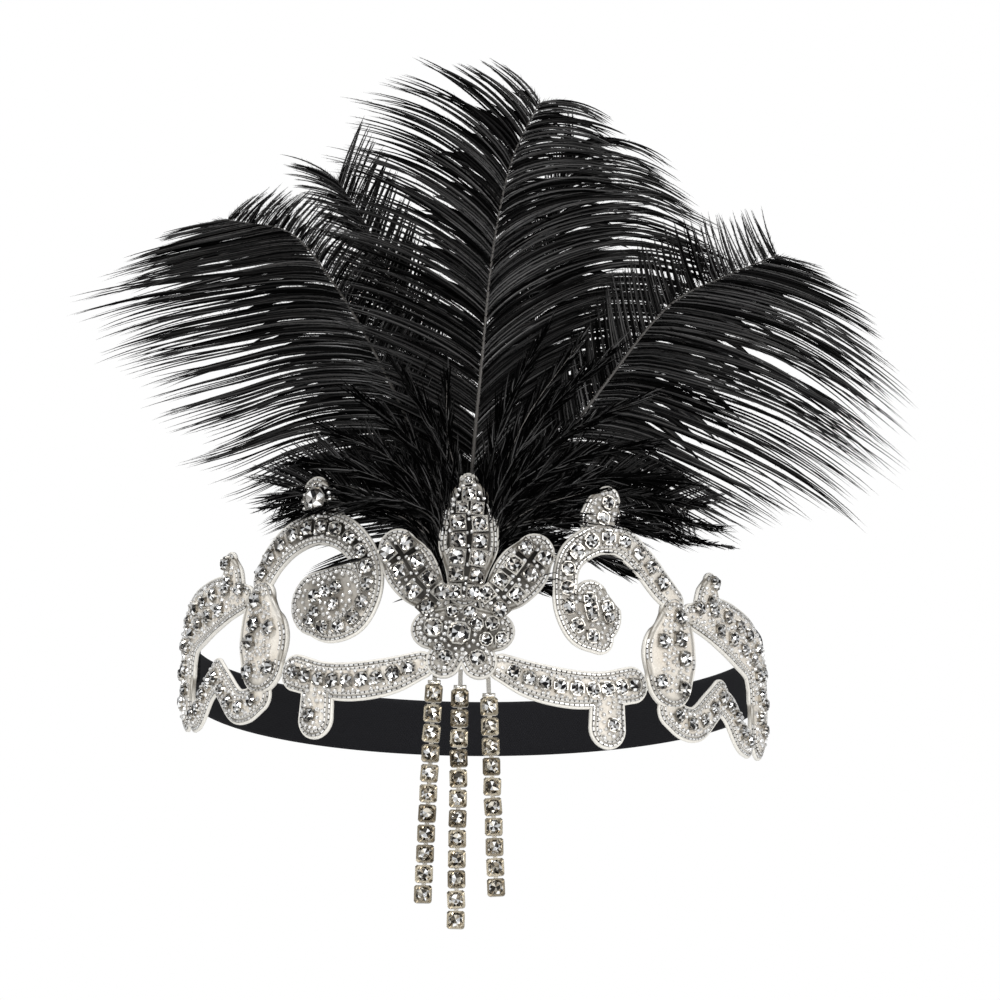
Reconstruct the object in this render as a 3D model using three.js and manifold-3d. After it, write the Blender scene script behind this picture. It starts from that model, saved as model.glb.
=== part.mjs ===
// Flapper headband: stoned lace sewn on a black elastic band, three cup chains and ostrich plumes.
// Millimetres, +Z up, the wearer faces -Y and +X is to the right of someone looking at the front.
// The origin is the middle of the head opening, at the elastic's mid height.
import * as THREE from "three";
import Module from "manifold-3d";

const wasm = await Module();
wasm.setup();

// Driving dimensions
const headHalfWidth = 78;
const headHalfDepth = 91.5;
const elasticWidth = 16;
const elasticWall = 1.2;
const elasticStart = 101; // arc from the centre front to each end of the elastic
const laceReach = 120; // half the lace's length, laid flat
const laceRise = 34; // from the elastic's middle up to the tip of the centre petal
const laceWall = 1.2;
const laceTiltDegrees = 2.2; // the lace is sewn on a little crooked, its right end lower
const laceShift = 0.6;
const resinWall = 0.6; // clear resin bed that holds the stones
const resinInset = 1.5; // lace rim left bare round the resin bed
const stoneHeight = 2.1;
const stoneSink = 0.3; // how deep a stone sits in its bed
const pieceGap = 0.3;
const strokeStep = 7; // spacing of the sections along a lace stroke
const chainPitch = 5.06;
const chainCupWidth = 4.4;
const chainCupDepth = 1.5;
const chainStoneHeight = 1.3;
const chainLinkWidth = 1.5;
const chainLinkWall = 0.9;
const patchWall = 1.2;
const quillRadius = 1.2;
const plumeRise = 143; // from the elastic's middle up to the top of the plumes
const plumeLayerPitch = 3; // depth from one plume to the next
const plumeWall = 1.5; // thickness of a plume's locks
const plumeCurl = 22; // how far the plumes' tops bend forward

const rad = THREE.MathUtils.degToRad;

// Closed solid through a list of loops that all have the same number of points. A mirrored list
// turns the solid inside out, so the winding follows the sign of the volume.
function loft(loops) {
  const count = loops[0].length;
  const points = loops.flat();
  const faces = [];
  for (let i = 0; i < loops.length - 1; i += 1) {
    for (let j = 0; j < count; j += 1) {
      const a = i * count + j;
      const b = i * count + ((j + 1) % count);
      faces.push([a, b, b + count], [a, b + count, a + count]);
    }
  }
  const last = (loops.length - 1) * count;
  for (let j = 1; j < count - 1; j += 1) {
    faces.push([0, j + 1, j], [last, last + j, last + j + 1]);
  }
  let volume = 0;
  for (const [a, b, c] of faces) {
    volume += points[a].dot(points[b].clone().cross(points[c]));
  }
  const wound = volume < 0 ? faces.map(([a, b, c]) => [a, c, b]) : faces;
  const geometry = new THREE.BufferGeometry().setFromPoints(points);
  geometry.setIndex(wound.flat());
  return geometry;
}

function toSolid(geometry) {
  return new wasm.Manifold(new wasm.Mesh({
    numProp: 3,
    vertProperties: Float32Array.from(geometry.getAttribute("position").array),
    triVerts: Uint32Array.from(geometry.getIndex().array),
  }));
}

function fuse(geometries) {
  return geometries.map(toSolid).reduce((whole, piece) => whole.add(piece));
}

function toGeometry(solid) {
  const mesh = solid.getMesh();
  const geometry = new THREE.BufferGeometry();
  geometry.setAttribute("position", new THREE.BufferAttribute(Float32Array.from(mesh.vertProperties), 3));
  geometry.setIndex(Array.from(mesh.triVerts));
  return geometry;
}

function makeMaterial(color, roughness, metalness) {
  return new THREE.MeshStandardMaterial({ color, roughness, metalness });
}

const materials = {
  elastic: makeMaterial("#1f2024", 0.85, 0),
  lace: makeMaterial("#e9e3da", 0.7, 0),
  stones: makeMaterial("#c9c8c6", 0.1, 0.2),
  chain: makeMaterial("#8f8672", 0.2, 0.9),
  plume: makeMaterial("#121113", 0.75, 0),
  felt: makeMaterial("#17171a", 0.95, 0),
};

const group = new THREE.Group();

function addPiece(name, geometry, material) {
  const mesh = new THREE.Mesh(geometry, material);
  mesh.name = name;
  group.add(mesh);
}

// Seat of the band: an ellipse that starts at the centre front and runs towards +X. A point on it
// is given by its arc from the centre front, its offset outwards and its height.
const seat = new THREE.EllipseCurve(0, 0, headHalfWidth, headHalfDepth, -Math.PI / 2, 1.5 * Math.PI);
seat.arcLengthDivisions = 1440;
const seatLength = seat.getLength();

function seatFrame(arc) {
  const share = (((arc / seatLength) % 1) + 1) % 1;
  const at = seat.getPointAt(share);
  const along = seat.getTangentAt(share);
  return {
    at: new THREE.Vector3(at.x, at.y, 0),
    along: new THREE.Vector3(along.x, along.y, 0),
    out: new THREE.Vector3(along.y, -along.x, 0),
  };
}

function seatPoint(arc, offset, height) {
  const { at, out } = seatFrame(arc);
  return at.addScaledVector(out, offset).setZ(height);
}

// Place on the flat lace to arc and height on the band, with the lace's tilt
const laceTilt = rad(laceTiltDegrees);

function laceToBand(u, v) {
  return {
    arc: laceShift + u * Math.cos(laceTilt) + v * Math.sin(laceTilt),
    height: v * Math.cos(laceTilt) - u * Math.sin(laceTilt),
  };
}

// Stroke of lace, laid on the band. Its rows give the middle line and the half width.
// u is a share of laceReach; v and half are shares of laceRise.
function strokeCurve(rows, side) {
  const points = rows.map(([u, v, half]) => (
    new THREE.Vector3(side * u * laceReach, v * laceRise, half * laceRise)
  ));
  return new THREE.CatmullRomCurve3(points, false, "centripetal");
}

const capDegrees = [72, 36];
const wideShare = 0.16; // a stroke with a half width over this also follows the band in its middle

function strokeStations(curve, grow) {
  const count = Math.max(2, Math.round(curve.getLength() / strokeStep));
  const stations = [];
  for (let i = 0; i <= count; i += 1) {
    const at = curve.getPointAt(i / count);
    const tangent = curve.getTangentAt(i / count);
    const along = new THREE.Vector2(tangent.x, tangent.y).normalize();
    stations.push({ u: at.x, v: at.y, half: Math.max(at.z + grow, pieceGap), along });
  }
  const cap = (end, sign, degrees) => ({
    u: end.u + sign * end.along.x * end.half * Math.sin(rad(degrees)),
    v: end.v + sign * end.along.y * end.half * Math.sin(rad(degrees)),
    half: end.half * Math.cos(rad(degrees)),
    along: end.along,
  });
  const head = capDegrees.map((degrees) => cap(stations[0], -1, degrees));
  const tail = capDegrees.map((degrees) => cap(stations.at(-1), 1, degrees)).reverse();
  return [...head, ...stations, ...tail];
}

function strokeGeometry(rows, side, inner, outer, grow) {
  const columns = rows.some((row) => row[2] > wideShare) ? [-1, 0, 1] : [-1, 1];
  const loops = strokeStations(strokeCurve(rows, side), grow).map(({ u, v, half, along }) => {
    const corner = (share, offset) => {
      const { arc, height } = laceToBand(u - along.y * half * share, v + along.x * half * share);
      return seatPoint(arc, offset, height);
    };
    const outside = columns.map((share) => corner(share, outer));
    const inside = columns.map((share) => corner(share, inner)).reverse();
    return [...outside, ...inside];
  });
  return loft(loops);
}

// Cut stone: an octagon that tapers from its girdle to its table, square to the lace
const stoneSides = 8;
const tableShare = 0.55;

function octagon(middle, along, up, radius) {
  return Array.from({ length: stoneSides }, (_, i) => {
    const angle = (i + 0.5) * 2 * Math.PI / stoneSides;
    return middle.clone()
      .addScaledVector(along, radius * Math.cos(angle))
      .addScaledVector(up, radius * Math.sin(angle));
  });
}

const up = new THREE.Vector3(0, 0, 1);
const bedBottom = pieceGap + laceWall + pieceGap;
const bedTop = bedBottom + resinWall;

function stoneOnLace(u, v, radius) {
  const { arc, height } = laceToBand(u, v);
  const { along, out } = seatFrame(arc);
  const foot = seatPoint(arc, bedTop - stoneSink, height);
  const table = foot.clone().addScaledVector(out, stoneSink + stoneHeight);
  return loft([octagon(foot, along, up, radius), octagon(table, along, up, radius * tableShare)]);
}

// Lace motifs. A stroke's rows are u, v, half. A stone row runs along its stroke from share
// "from" to share "to", beside the middle line by "beside", as a share of laceRise like "radius".
const motifs = {
  flower: {
    strokes: {
      wings: [[-0.067, -0.175, 0.145], [0, -0.2, 0.21], [0.067, -0.175, 0.145]],
      foot_left: [[-0.02, -0.28, 0.13], [-0.037, -0.41, 0.13]],
      foot_right: [[0.02, -0.28, 0.13], [0.037, -0.41, 0.13]],
    },
    stones: [
      { stroke: "wings", from: 0, to: 1, count: 2, beside: 0, radius: 0.088 },
      { stroke: "wings", from: 0.5, to: 0.5, count: 1, beside: -0.04, radius: 0.11 },
      { stroke: "foot_left", from: 1, to: 1, count: 1, beside: 0, radius: 0.065 },
      { stroke: "foot_right", from: 1, to: 1, count: 1, beside: 0, radius: 0.065 },
    ],
  },
  top_petal: {
    strokes: {
      blade: [
        [0, 0.12, 0.12], [0.003, 0.28, 0.16], [0.004, 0.45, 0.22], [0.004, 0.6, 0.215],
        [0.003, 0.75, 0.19], [0, 0.87, 0.13], [-0.002, 0.945, 0.075],
      ],
    },
    stones: [
      { stroke: "blade", from: 0.15, to: 0.73, count: 4, beside: -0.085, radius: 0.068 },
      { stroke: "blade", from: 0.15, to: 0.73, count: 4, beside: 0.085, radius: 0.068 },
      { stroke: "blade", from: 0.91, to: 0.91, count: 1, beside: 0, radius: 0.055 },
    ],
  },
  petal: {
    strokes: {
      blade: [
        [0.058, 0.04, 0.1], [0.09, 0.16, 0.175], [0.122, 0.32, 0.195], [0.144, 0.44, 0.15],
      ],
    },
    stones: [
      { stroke: "blade", from: 0.06, to: 1, count: 4, beside: -0.074, radius: 0.062 },
      { stroke: "blade", from: 0.06, to: 0.8, count: 3, beside: 0.08, radius: 0.062 },
    ],
  },
  scroll_left: {
    strokes: {
      arc: [
        [0.35, -0.05, 0.11], [0.295, -0.14, 0.115], [0.24, -0.09, 0.115], [0.21, 0.09, 0.115],
        [0.208, 0.28, 0.115], [0.232, 0.45, 0.12], [0.275, 0.58, 0.13], [0.335, 0.633, 0.135],
        [0.403, 0.565, 0.13], [0.455, 0.44, 0.125], [0.492, 0.28, 0.11],
      ],
      leaf: [[0.27, 0.12, 0.22], [0.33, 0.05, 0.245]],
    },
    stones: [
      { stroke: "arc", from: 0.05, to: 0.96, count: 10, beside: 0, radius: 0.062 },
      { stroke: "leaf", from: 0.3, to: 1, count: 2, beside: 0, radius: 0.07 },
    ],
  },
  scroll_right: {
    strokes: {
      arc: [
        [0.295, -0.15, 0.12], [0.25, -0.12, 0.11], [0.22, 0.03, 0.1], [0.213, 0.2, 0.1],
        [0.2145, 0.35, 0.1], [0.23, 0.47, 0.11], [0.28, 0.6, 0.12], [0.335, 0.62, 0.125],
        [0.397, 0.495, 0.12], [0.4525, 0.335, 0.12], [0.4925, 0.245, 0.105],
      ],
      leaf: [[0.272, 0.15, 0.14], [0.28, 0.03, 0.235]],
    },
    stones: [
      { stroke: "arc", from: 0.05, to: 0.96, count: 10, beside: 0, radius: 0.062 },
      { stroke: "leaf", from: 0.3, to: 1, count: 2, beside: 0, radius: 0.07 },
    ],
  },
  knob_left: {
    strokes: { bud: [[0.315, 0.75, 0.14], [0.34, 0.85, 0.165], [0.345, 0.92, 0.11]] },
    stones: [{ stroke: "bud", from: 0.5, to: 0.5, count: 1, beside: 0, radius: 0.075 }],
  },
  knob_right: {
    strokes: { bud: [[0.287, 0.74, 0.17], [0.297, 0.86, 0.15], [0.306, 0.93, 0.1]] },
    stones: [{ stroke: "bud", from: 0.4, to: 0.4, count: 1, beside: 0, radius: 0.065 }],
  },
  cluster: {
    strokes: {
      body: [[0.49, 0.14, 0.14], [0.492, 0, 0.22], [0.484, -0.18, 0.28], [0.484, -0.35, 0.24]],
    },
    stones: [
      { stroke: "body", from: 0.05, to: 0.55, count: 2, beside: -0.04, radius: 0.06 },
      { stroke: "body", from: 0.95, to: 0.95, count: 1, beside: -0.14, radius: 0.06 },
      { stroke: "body", from: 0.95, to: 0.95, count: 1, beside: 0.14, radius: 0.06 },
    ],
  },
  band: {
    strokes: {
      strip: [
        [0.085, -0.44, 0.105], [0.15, -0.52, 0.14], [0.233, -0.555, 0.147],
        [0.308, -0.53, 0.137], [0.38, -0.46, 0.14],
      ],
      drop: [[0.32, -0.65, 0.147], [0.322, -0.82, 0.155]],
    },
    stones: [
      { stroke: "strip", from: 0.14, to: 0.96, count: 6, beside: 0, radius: 0.065 },
      { stroke: "drop", from: 0.8, to: 0.8, count: 1, beside: 0, radius: 0.065 },
    ],
  },
  outer_leaf: {
    strokes: {
      tip: [[0.6, 0.22, 0.15], [0.612, 0.36, 0.15], [0.62, 0.47, 0.09]],
      body: [
        [0.55, 0.17, 0.1], [0.64, 0.19, 0.19], [0.75, 0.14, 0.235], [0.84, 0.07, 0.25],
        [0.89, -0.12, 0.28], [0.9, -0.32, 0.28], [0.89, -0.5, 0.22],
      ],
    },
    stones: [
      { stroke: "body", from: 0.12, to: 0.96, count: 5, beside: 0, radius: 0.07 },
    ],
  },
  wave: {
    strokes: {
      dip: [
        [0.49, -0.6, 0.13], [0.53, -0.66, 0.135], [0.575, -0.65, 0.135],
        [0.63, -0.49, 0.13], [0.67, -0.365, 0.125],
      ],
      fall: [[0.652, -0.4, 0.1], [0.71, -0.45, 0.13], [0.77, -0.61, 0.135], [0.81, -0.63, 0.13]],
    },
    stones: [
      { stroke: "dip", from: 0.15, to: 0.85, count: 3, beside: 0, radius: 0.062 },
      { stroke: "fall", from: 0.4, to: 0.93, count: 2, beside: 0, radius: 0.062 },
    ],
  },
};

// A motif stops short of the ones that were laid before it, by the gap between pieces.
const cutReach = 3; // how far a cut passes the lace's faces

function strokesOf(motif, side, inner, outer, grow) {
  return fuse(Object.values(motif.strokes).map((rows) => strokeGeometry(rows, side, inner, outer, grow)));
}

function clearOf(solid, laid) {
  return laid.reduce((rest, other) => rest.subtract(other), solid);
}

function stonesOf(motif, side) {
  return motif.stones.flatMap(({ stroke, from, to, count, beside, radius }) => {
    const curve = strokeCurve(motif.strokes[stroke], side);
    return Array.from({ length: count }, (_, i) => {
      const share = count > 1 ? from + (to - from) * i / (count - 1) : from;
      const at = curve.getPointAt(share);
      const tangent = curve.getTangentAt(share);
      const along = new THREE.Vector2(tangent.x, tangent.y).normalize();
      const step = side * beside * laceRise;
      return stoneOnLace(at.x - along.y * step, at.y + along.x * step, radius * laceRise);
    });
  });
}

// Order of laying: name, motif, side. What comes first keeps its whole outline.
const order = [
  ["flower", "flower", 1],
  ["petal_left", "petal", -1], ["petal_right", "petal", 1],
  ["top_petal", "top_petal", 1],
  ["scroll_left", "scroll_left", -1], ["scroll_right", "scroll_right", 1],
  ["knob_left", "knob_left", -1], ["knob_right", "knob_right", 1],
  ["cluster_left", "cluster", -1], ["cluster_right", "cluster", 1],
  ["band_left", "band", -1], ["band_right", "band", 1],
  ["outer_leaf_left", "outer_leaf", -1], ["outer_leaf_right", "outer_leaf", 1],
  ["wave_left", "wave", -1], ["wave_right", "wave", 1],
];
const laceTools = [];
const bedTools = [];
for (const [name, key, side] of order) {
  const motif = motifs[key];
  const laceSolid = strokesOf(motif, side, pieceGap, pieceGap + laceWall, 0);
  addPiece(`lace_${name}`, toGeometry(clearOf(laceSolid, laceTools)), materials.lace);
  laceTools.push(strokesOf(motif, side, -cutReach, cutReach, pieceGap));
  const bed = strokesOf(motif, side, bedBottom, bedTop, -resinInset);
  const field = fuse([toGeometry(bed), ...stonesOf(motif, side)]);
  addPiece(`stones_${name}`, toGeometry(clearOf(field, bedTools)), materials.stones);
  bedTools.push(strokesOf(motif, side, bedBottom - cutReach, bedTop + cutReach, pieceGap - resinInset));
}

// Black elastic, from behind one end of the lace round the back of the head to the other
const elasticSections = 36;

function makeElastic() {
  const length = seatLength - 2 * elasticStart;
  const loops = Array.from({ length: elasticSections + 1 }, (_, i) => {
    const arc = elasticStart + length * i / elasticSections;
    return [
      seatPoint(arc, 0, -elasticWidth / 2), seatPoint(arc, 0, elasticWidth / 2),
      seatPoint(arc, -elasticWall, elasticWidth / 2), seatPoint(arc, -elasticWall, -elasticWidth / 2),
    ];
  });
  return loft(loops);
}

addPiece("elastic_band", makeElastic(), materials.elastic);

// Cup chains. Each hangs in front of the head from a thread tab behind the flower's foot.
// across and drop are shares of laceRise: where the first cup's top is. lean is in degrees.
const chains = [
  { name: "chain_left", across: -0.2, drop: -0.58, stones: 11, lean: -2.7 },
  { name: "chain_centre", across: -0.008, drop: -0.62, stones: 12, lean: -0.8 },
  { name: "chain_right", across: 0.205, drop: -0.68, stones: 10, lean: 2.3 },
];
const tabRise = 0.16; // of laceRise, how far the tab reaches up behind the lace

function uprightBox(centre, along, down, width, height, y0, y1) {
  const corner = (a, b, y) => new THREE.Vector3(
    centre.x + along.x * a * width / 2 + down.x * b * height / 2,
    y,
    centre.z + along.z * a * width / 2 + down.z * b * height / 2,
  );
  const ring = (y) => [corner(-1, -1, y), corner(1, -1, y), corner(1, 1, y), corner(-1, 1, y)];
  return loft([ring(y0), ring(y1)]);
}

function makeChain({ across, drop, stones, lean }) {
  const down = new THREE.Vector3(Math.sin(rad(lean)), 0, -Math.cos(rad(lean)));
  const along = new THREE.Vector3(Math.cos(rad(lean)), 0, Math.sin(rad(lean)));
  const top = new THREE.Vector3(across * laceRise, 0, drop * laceRise);
  const back = seatPoint(top.x, 0, 0).y + pieceGap;
  const front = back - chainCupDepth;
  const cups = Array.from({ length: stones }, (_, i) => {
    const centre = top.clone().addScaledVector(down, chainCupWidth / 2 + i * chainPitch);
    const cup = uprightBox(centre, along, down, chainCupWidth, chainCupWidth, back, front);
    const foot = centre.clone().setY(front + stoneSink);
    const table = centre.clone().setY(front - chainStoneHeight);
    const radius = chainCupWidth / 2;
    const stone = loft([
      octagon(foot, along, down, radius), octagon(table, along, down, radius * tableShare),
    ]);
    return [cup, stone];
  });
  const tab = tabRise * laceRise;
  const length = tab + (stones - 1) * chainPitch + chainCupWidth / 2;
  const middle = top.clone().addScaledVector(down, length / 2 - tab);
  const link = uprightBox(middle, along, down, chainLinkWidth, length, back + chainLinkWall, back);
  return toGeometry(fuse([...cups.flat(), link]));
}

for (const chain of chains) {
  addPiece(chain.name, makeChain(chain), materials.chain);
}

// Felt patch behind the centre motif, which the quills are sewn to
const quillDepth = quillRadius + pieceGap; // middle of the quills behind the lace's seat
const patchOuter = -2 * quillRadius - 2 * pieceGap;
const patchRows = [[-0.045, -0.13, 0.17], [0.045, -0.13, 0.17]];
addPiece("felt_patch", strokeGeometry(patchRows, 1, patchOuter - patchWall, patchOuter, 0), materials.felt);

// Plumes. Their quills stand side by side on the patch. Above it each plume lies in its own layer,
// wrapped round the forehead low down, flatter higher up, with its top bent forward.
const wrapShare = 0.66; // of headHalfWidth, where the wrap starts to level off
const wrapTail = 12; // the most a plume goes back past that place
const layerStart = 0.33; // shares of laceRise between which the layers part
const layerEnd = 0.8;
const flatStart = 1.3; // shares of laceRise between which the wrap grows flatter
const flatEnd = 2.6;
const flatShare = 0.4;
const curlStart = 0.45; // shares of plumeRise between which the tops bend forward
const curlEnd = 1.15;
const { smoothstep } = THREE.MathUtils;

function wrapDepth(x) {
  const limit = wrapShare * headHalfWidth;
  const near = Math.min(Math.abs(x), limit);
  const slopeRoot = Math.sqrt(1 - (near / headHalfWidth) ** 2);
  const depth = headHalfDepth * (1 - slopeRoot);
  const slope = headHalfDepth * near / (headHalfWidth ** 2 * slopeRoot);
  return depth + wrapTail * Math.tanh((Math.abs(x) - near) * slope / wrapTail);
}

function plumePoint(x, z, layer, out) {
  const spread = smoothstep(z, layerStart * laceRise, layerEnd * laceRise);
  const flatten = 1 - flatShare * smoothstep(z, flatStart * laceRise, flatEnd * laceRise);
  const curl = plumeCurl * smoothstep(z, curlStart * plumeRise, curlEnd * plumeRise);
  const depth = quillDepth + layer * plumeLayerPitch * spread;
  return new THREE.Vector3(x, wrapDepth(x) * flatten + depth - headHalfDepth - curl - out, z);
}

function rowAt(rows, share) {
  const next = Math.max(1, rows.findIndex((row) => row[0] >= share));
  const [low, high] = [rows[next - 1], rows[next]];
  const mix = (share - low[0]) / (high[0] - low[0]);
  return low.map((value, i) => value + (high[i] - value) * mix);
}

// quill holds x, z as shares of plumeRise. A row of left or right gives, at a share of the quill:
// a lock's reach as a share of plumeRise, and its angle above the horizontal at root and tip.
const quillPitch = 2 * quillRadius + pieceGap;
const plumes = [
  {
    name: "fluff_left", place: -3, layer: 0, locks: 7,
    quill: [[-0.075, 0.13], [-0.13, 0.2], [-0.24, 0.24], [-0.32, 0.25]],
    left: [[0.35, 0.05, 10, -10], [0.7, 0.08, -25, -50], [1, 0.08, -50, -75]],
    right: [[0.35, 0.2, 95, 90], [0.7, 0.16, 120, 135], [1, 0.1, 150, 165]],
  },
  {
    name: "fluff_right", place: 3, layer: 0, locks: 7,
    quill: [[0.075, 0.13], [0.14, 0.19], [0.28, 0.23], [0.4, 0.22]],
    left: [[0.35, 0.2, 95, 90], [0.7, 0.14, 125, 140], [1, 0.1, 150, 165]],
    right: [[0.35, 0.05, 10, -10], [0.7, 0.08, -25, -55], [1, 0.08, -60, -85]],
  },
  {
    name: "plume_centre", place: 0, layer: 1, locks: 9,
    quill: [[0.012, 0.2], [0.03, 0.42], [0.055, 0.66], [0.09, 0.81], [0.14, 0.91]],
    left: [[0.2, 0.18, 30, 45], [0.65, 0.41, 24, 30], [0.85, 0.27, 26, 40], [1, 0.08, 50, 40]],
    right: [[0.2, 0.18, 50, 40], [0.65, 0.36, 48, 8], [1, 0.15, 20, -30]],
  },
  {
    name: "plume_left", place: -2, layer: 2, locks: 10,
    quill: [[-0.06, 0.24], [-0.16, 0.48], [-0.25, 0.63], [-0.32, 0.71], [-0.44, 0.75]],
    left: [[0.22, 0.33, 25, -28], [0.4, 0.43, 26, -32], [0.7, 0.52, 26, -26], [1, 0.2, 8, -6]],
    right: [[0.22, 0.07, 80, 60], [1, 0.08, 50, 20]],
  },
  {
    name: "plume_right", place: 2, layer: 3, locks: 11,
    quill: [[0.09, 0.18], [0.24, 0.42], [0.38, 0.6], [0.47, 0.65], [0.57, 0.69]],
    left: [[0.22, 0.1, 75, 85], [1, 0.1, 60, 70]],
    right: [[0.22, 0.3, 20, -25], [0.55, 0.61, 22, -44], [0.85, 0.46, 12, -40], [1, 0.2, 4, -16]],
  },
  {
    name: "plume_back_left", place: -1, layer: 4, locks: 7,
    quill: [[-0.04, 0.28], [-0.1, 0.52], [-0.17, 0.7], [-0.23, 0.8]],
    left: [[0.45, 0.22, 40, 10], [1, 0.13, 46, 15]],
    right: [[0.45, 0.16, 75, 85], [1, 0.12, 70, 60]],
  },
  {
    name: "plume_back_right", place: 1, layer: 5, locks: 7,
    quill: [[0.056, 0.28], [0.125, 0.56], [0.17, 0.74], [0.2, 0.86]],
    left: [[0.45, 0.18, 70, 80], [1, 0.08, 80, 90]],
    right: [[0.4, 0.3, 40, 5], [0.75, 0.33, 40, -25], [1, 0.14, 35, -30]],
  },
];
const quillFoot = -0.03; // of plumeRise, where the quills end on the patch
const quillBend = 0.07; // of plumeRise, up to where they stand side by side
const lockSteps = 3; // points along a lock from the quill to its tip
const notchShare = 0.66; // reach of the notch between two locks
const endShare = 0.985; // where the last notch is on the quill
const quillTaper = 0.65; // how much thinner a quill is at its tip
const bareShares = [0.25, 0.55, 0.95]; // sections between the quill's bend and its first lock

// One section across a plume: out along the left lock, over the quill's front, to the right lock's
// tip and back behind. A notch follows its lock's bend, only not as far, so that the two don't cross.
function plumeLoop(plume, curve, share, reachShare) {
  const root = curve.getPointAt(share);
  const radius = quillRadius * (1 - quillTaper * share);
  const lockPath = (side, rows) => {
    const bare = share < rows[0][0];
    const [, reach, start, end] = rowAt(rows, Math.max(share, rows[0][0]));
    const length = bare ? radius : Math.max(radius, reach * reachShare * plumeRise);
    const at = new THREE.Vector2(root.x, root.y);
    return Array.from({ length: lockSteps }, (_, i) => {
      const bend = (end - start) * reachShare * (i + 0.5) / lockSteps;
      const angle = rad(bare ? 0 : start + bend);
      const step = length / lockSteps;
      at.x += side * Math.cos(angle) * step;
      at.y += Math.sin(angle) * step;
      return at.clone();
    });
  };
  const wall = (i, bare) => (bare ? radius : plumeWall / 2) * (1 - i / lockSteps);
  const side = (sign, rows) => {
    const path = lockPath(sign, rows);
    const bare = share < rows[0][0];
    const face = (i, out) => plumePoint(path[i].x, path[i].y, plume.layer, out * wall(i, bare));
    return {
      tip: plumePoint(path.at(-1).x, path.at(-1).y, plume.layer, 0),
      front: [face(0, 1), face(1, 1)],
      back: [face(0, -1), face(1, -1)],
    };
  };
  const left = side(-1, plume.left);
  const right = side(1, plume.right);
  return [
    left.tip, left.front[1], left.front[0], plumePoint(root.x, root.y, plume.layer, radius),
    ...right.front, right.tip, right.back[1], right.back[0],
    plumePoint(root.x, root.y, plume.layer, -radius), ...left.back,
  ];
}

function makePlume(plume) {
  const foot = plume.place * quillPitch;
  const points = [
    new THREE.Vector3(foot, quillFoot * plumeRise, 0),
    new THREE.Vector3(foot, quillBend * plumeRise, 0),
    ...plume.quill.map(([x, z]) => new THREE.Vector3(x * plumeRise, z * plumeRise, 0)),
  ];
  const curve = new THREE.CatmullRomCurve3(points, false, "centripetal");
  const first = Math.min(plume.left[0][0], plume.right[0][0]);
  const bend = (quillBend - quillFoot) * plumeRise / curve.getLength();
  const bare = [0, bend, ...bareShares.map((part) => bend + (first - bend) * part)];
  const loops = bare.map((share) => plumeLoop(plume, curve, share, 0));
  for (let i = 0; i < plume.locks; i += 1) {
    const lock = first + (endShare - first) * i / (plume.locks - 0.5);
    const notch = first + (endShare - first) * (i + 0.5) / (plume.locks - 0.5);
    loops.push(plumeLoop(plume, curve, lock, 1), plumeLoop(plume, curve, notch, notchShare));
  }
  loops.push(plumeLoop(plume, curve, 1, 0));
  return loft(loops);
}

for (const plume of plumes) {
  addPiece(plume.name, makePlume(plume), materials.plume);
}

export default group;
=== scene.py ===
import math

import bmesh
import bpy
import numpy as np
from mathutils import Matrix, Vector


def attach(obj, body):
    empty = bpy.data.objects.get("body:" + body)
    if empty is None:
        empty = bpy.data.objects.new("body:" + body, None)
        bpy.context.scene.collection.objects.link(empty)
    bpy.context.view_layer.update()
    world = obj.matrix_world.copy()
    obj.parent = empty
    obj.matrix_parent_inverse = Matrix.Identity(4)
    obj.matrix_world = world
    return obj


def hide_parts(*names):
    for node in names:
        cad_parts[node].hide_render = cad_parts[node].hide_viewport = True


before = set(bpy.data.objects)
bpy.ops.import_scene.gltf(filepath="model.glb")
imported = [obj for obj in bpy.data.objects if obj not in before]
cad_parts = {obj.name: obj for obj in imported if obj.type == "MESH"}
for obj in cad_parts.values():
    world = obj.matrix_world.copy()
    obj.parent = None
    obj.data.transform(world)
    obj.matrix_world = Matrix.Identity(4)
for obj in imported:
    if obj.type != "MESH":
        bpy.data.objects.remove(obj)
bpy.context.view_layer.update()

# Camera, a little to the right of the front and below the band, looking slightly up.
# A long lens, so the sides of the lace are nearly parallel in the picture.
scene = bpy.context.scene
camera_azimuth = math.radians(2.35)
camera_elevation = math.radians(-10.34)
camera_distance = 1.2
back = Vector((
    math.sin(camera_azimuth) * math.cos(camera_elevation),
    -math.cos(camera_azimuth) * math.cos(camera_elevation),
    math.sin(camera_elevation),
))
lens = bpy.data.cameras.new("camera")
lens.lens = 158.66
lens.sensor_width = 36
lens.clip_end = 20
camera = bpy.data.objects.new("camera", lens)
scene.collection.objects.link(camera)
scene.camera = camera
aim = (-back).to_track_quat("-Z", "Y").to_matrix().to_4x4()
pitch = Matrix.Rotation(math.radians(2.251), 4, "X")
yaw = Matrix.Rotation(math.radians(-0.301), 4, "Y")
roll = Matrix.Rotation(math.radians(0.2), 4, "Z")
camera.matrix_world = Matrix.Translation(back * camera_distance) @ aim @ yaw @ pitch @ roll


# Pale floor well below the headband, which is shown as it is worn, and soft studio light: a wide
# key from the upper left, a fill from the right, a lamp above and a weak one low in front.
def linear(hex_colour):
    """sRGB hex to linear colour with alpha 1."""
    parts = [int(hex_colour[i:i + 2], 16) / 255 for i in (1, 3, 5)]
    return [p / 12.92 if p <= 0.04045 else ((p + 0.055) / 1.055) ** 2.4 for p in parts] + [1.0]


def add_node(tree, kind, inputs=None, **settings):
    """Adds a node with its settings. An input is a value, or another node's socket to link."""
    made = tree.nodes.new(kind)
    for key, value in settings.items():
        setattr(made, key, value)
    for key, value in (inputs or {}).items():
        if isinstance(value, bpy.types.NodeSocket):
            tree.links.new(value, made.inputs[key])
        else:
            made.inputs[key].default_value = value
    return made


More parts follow.
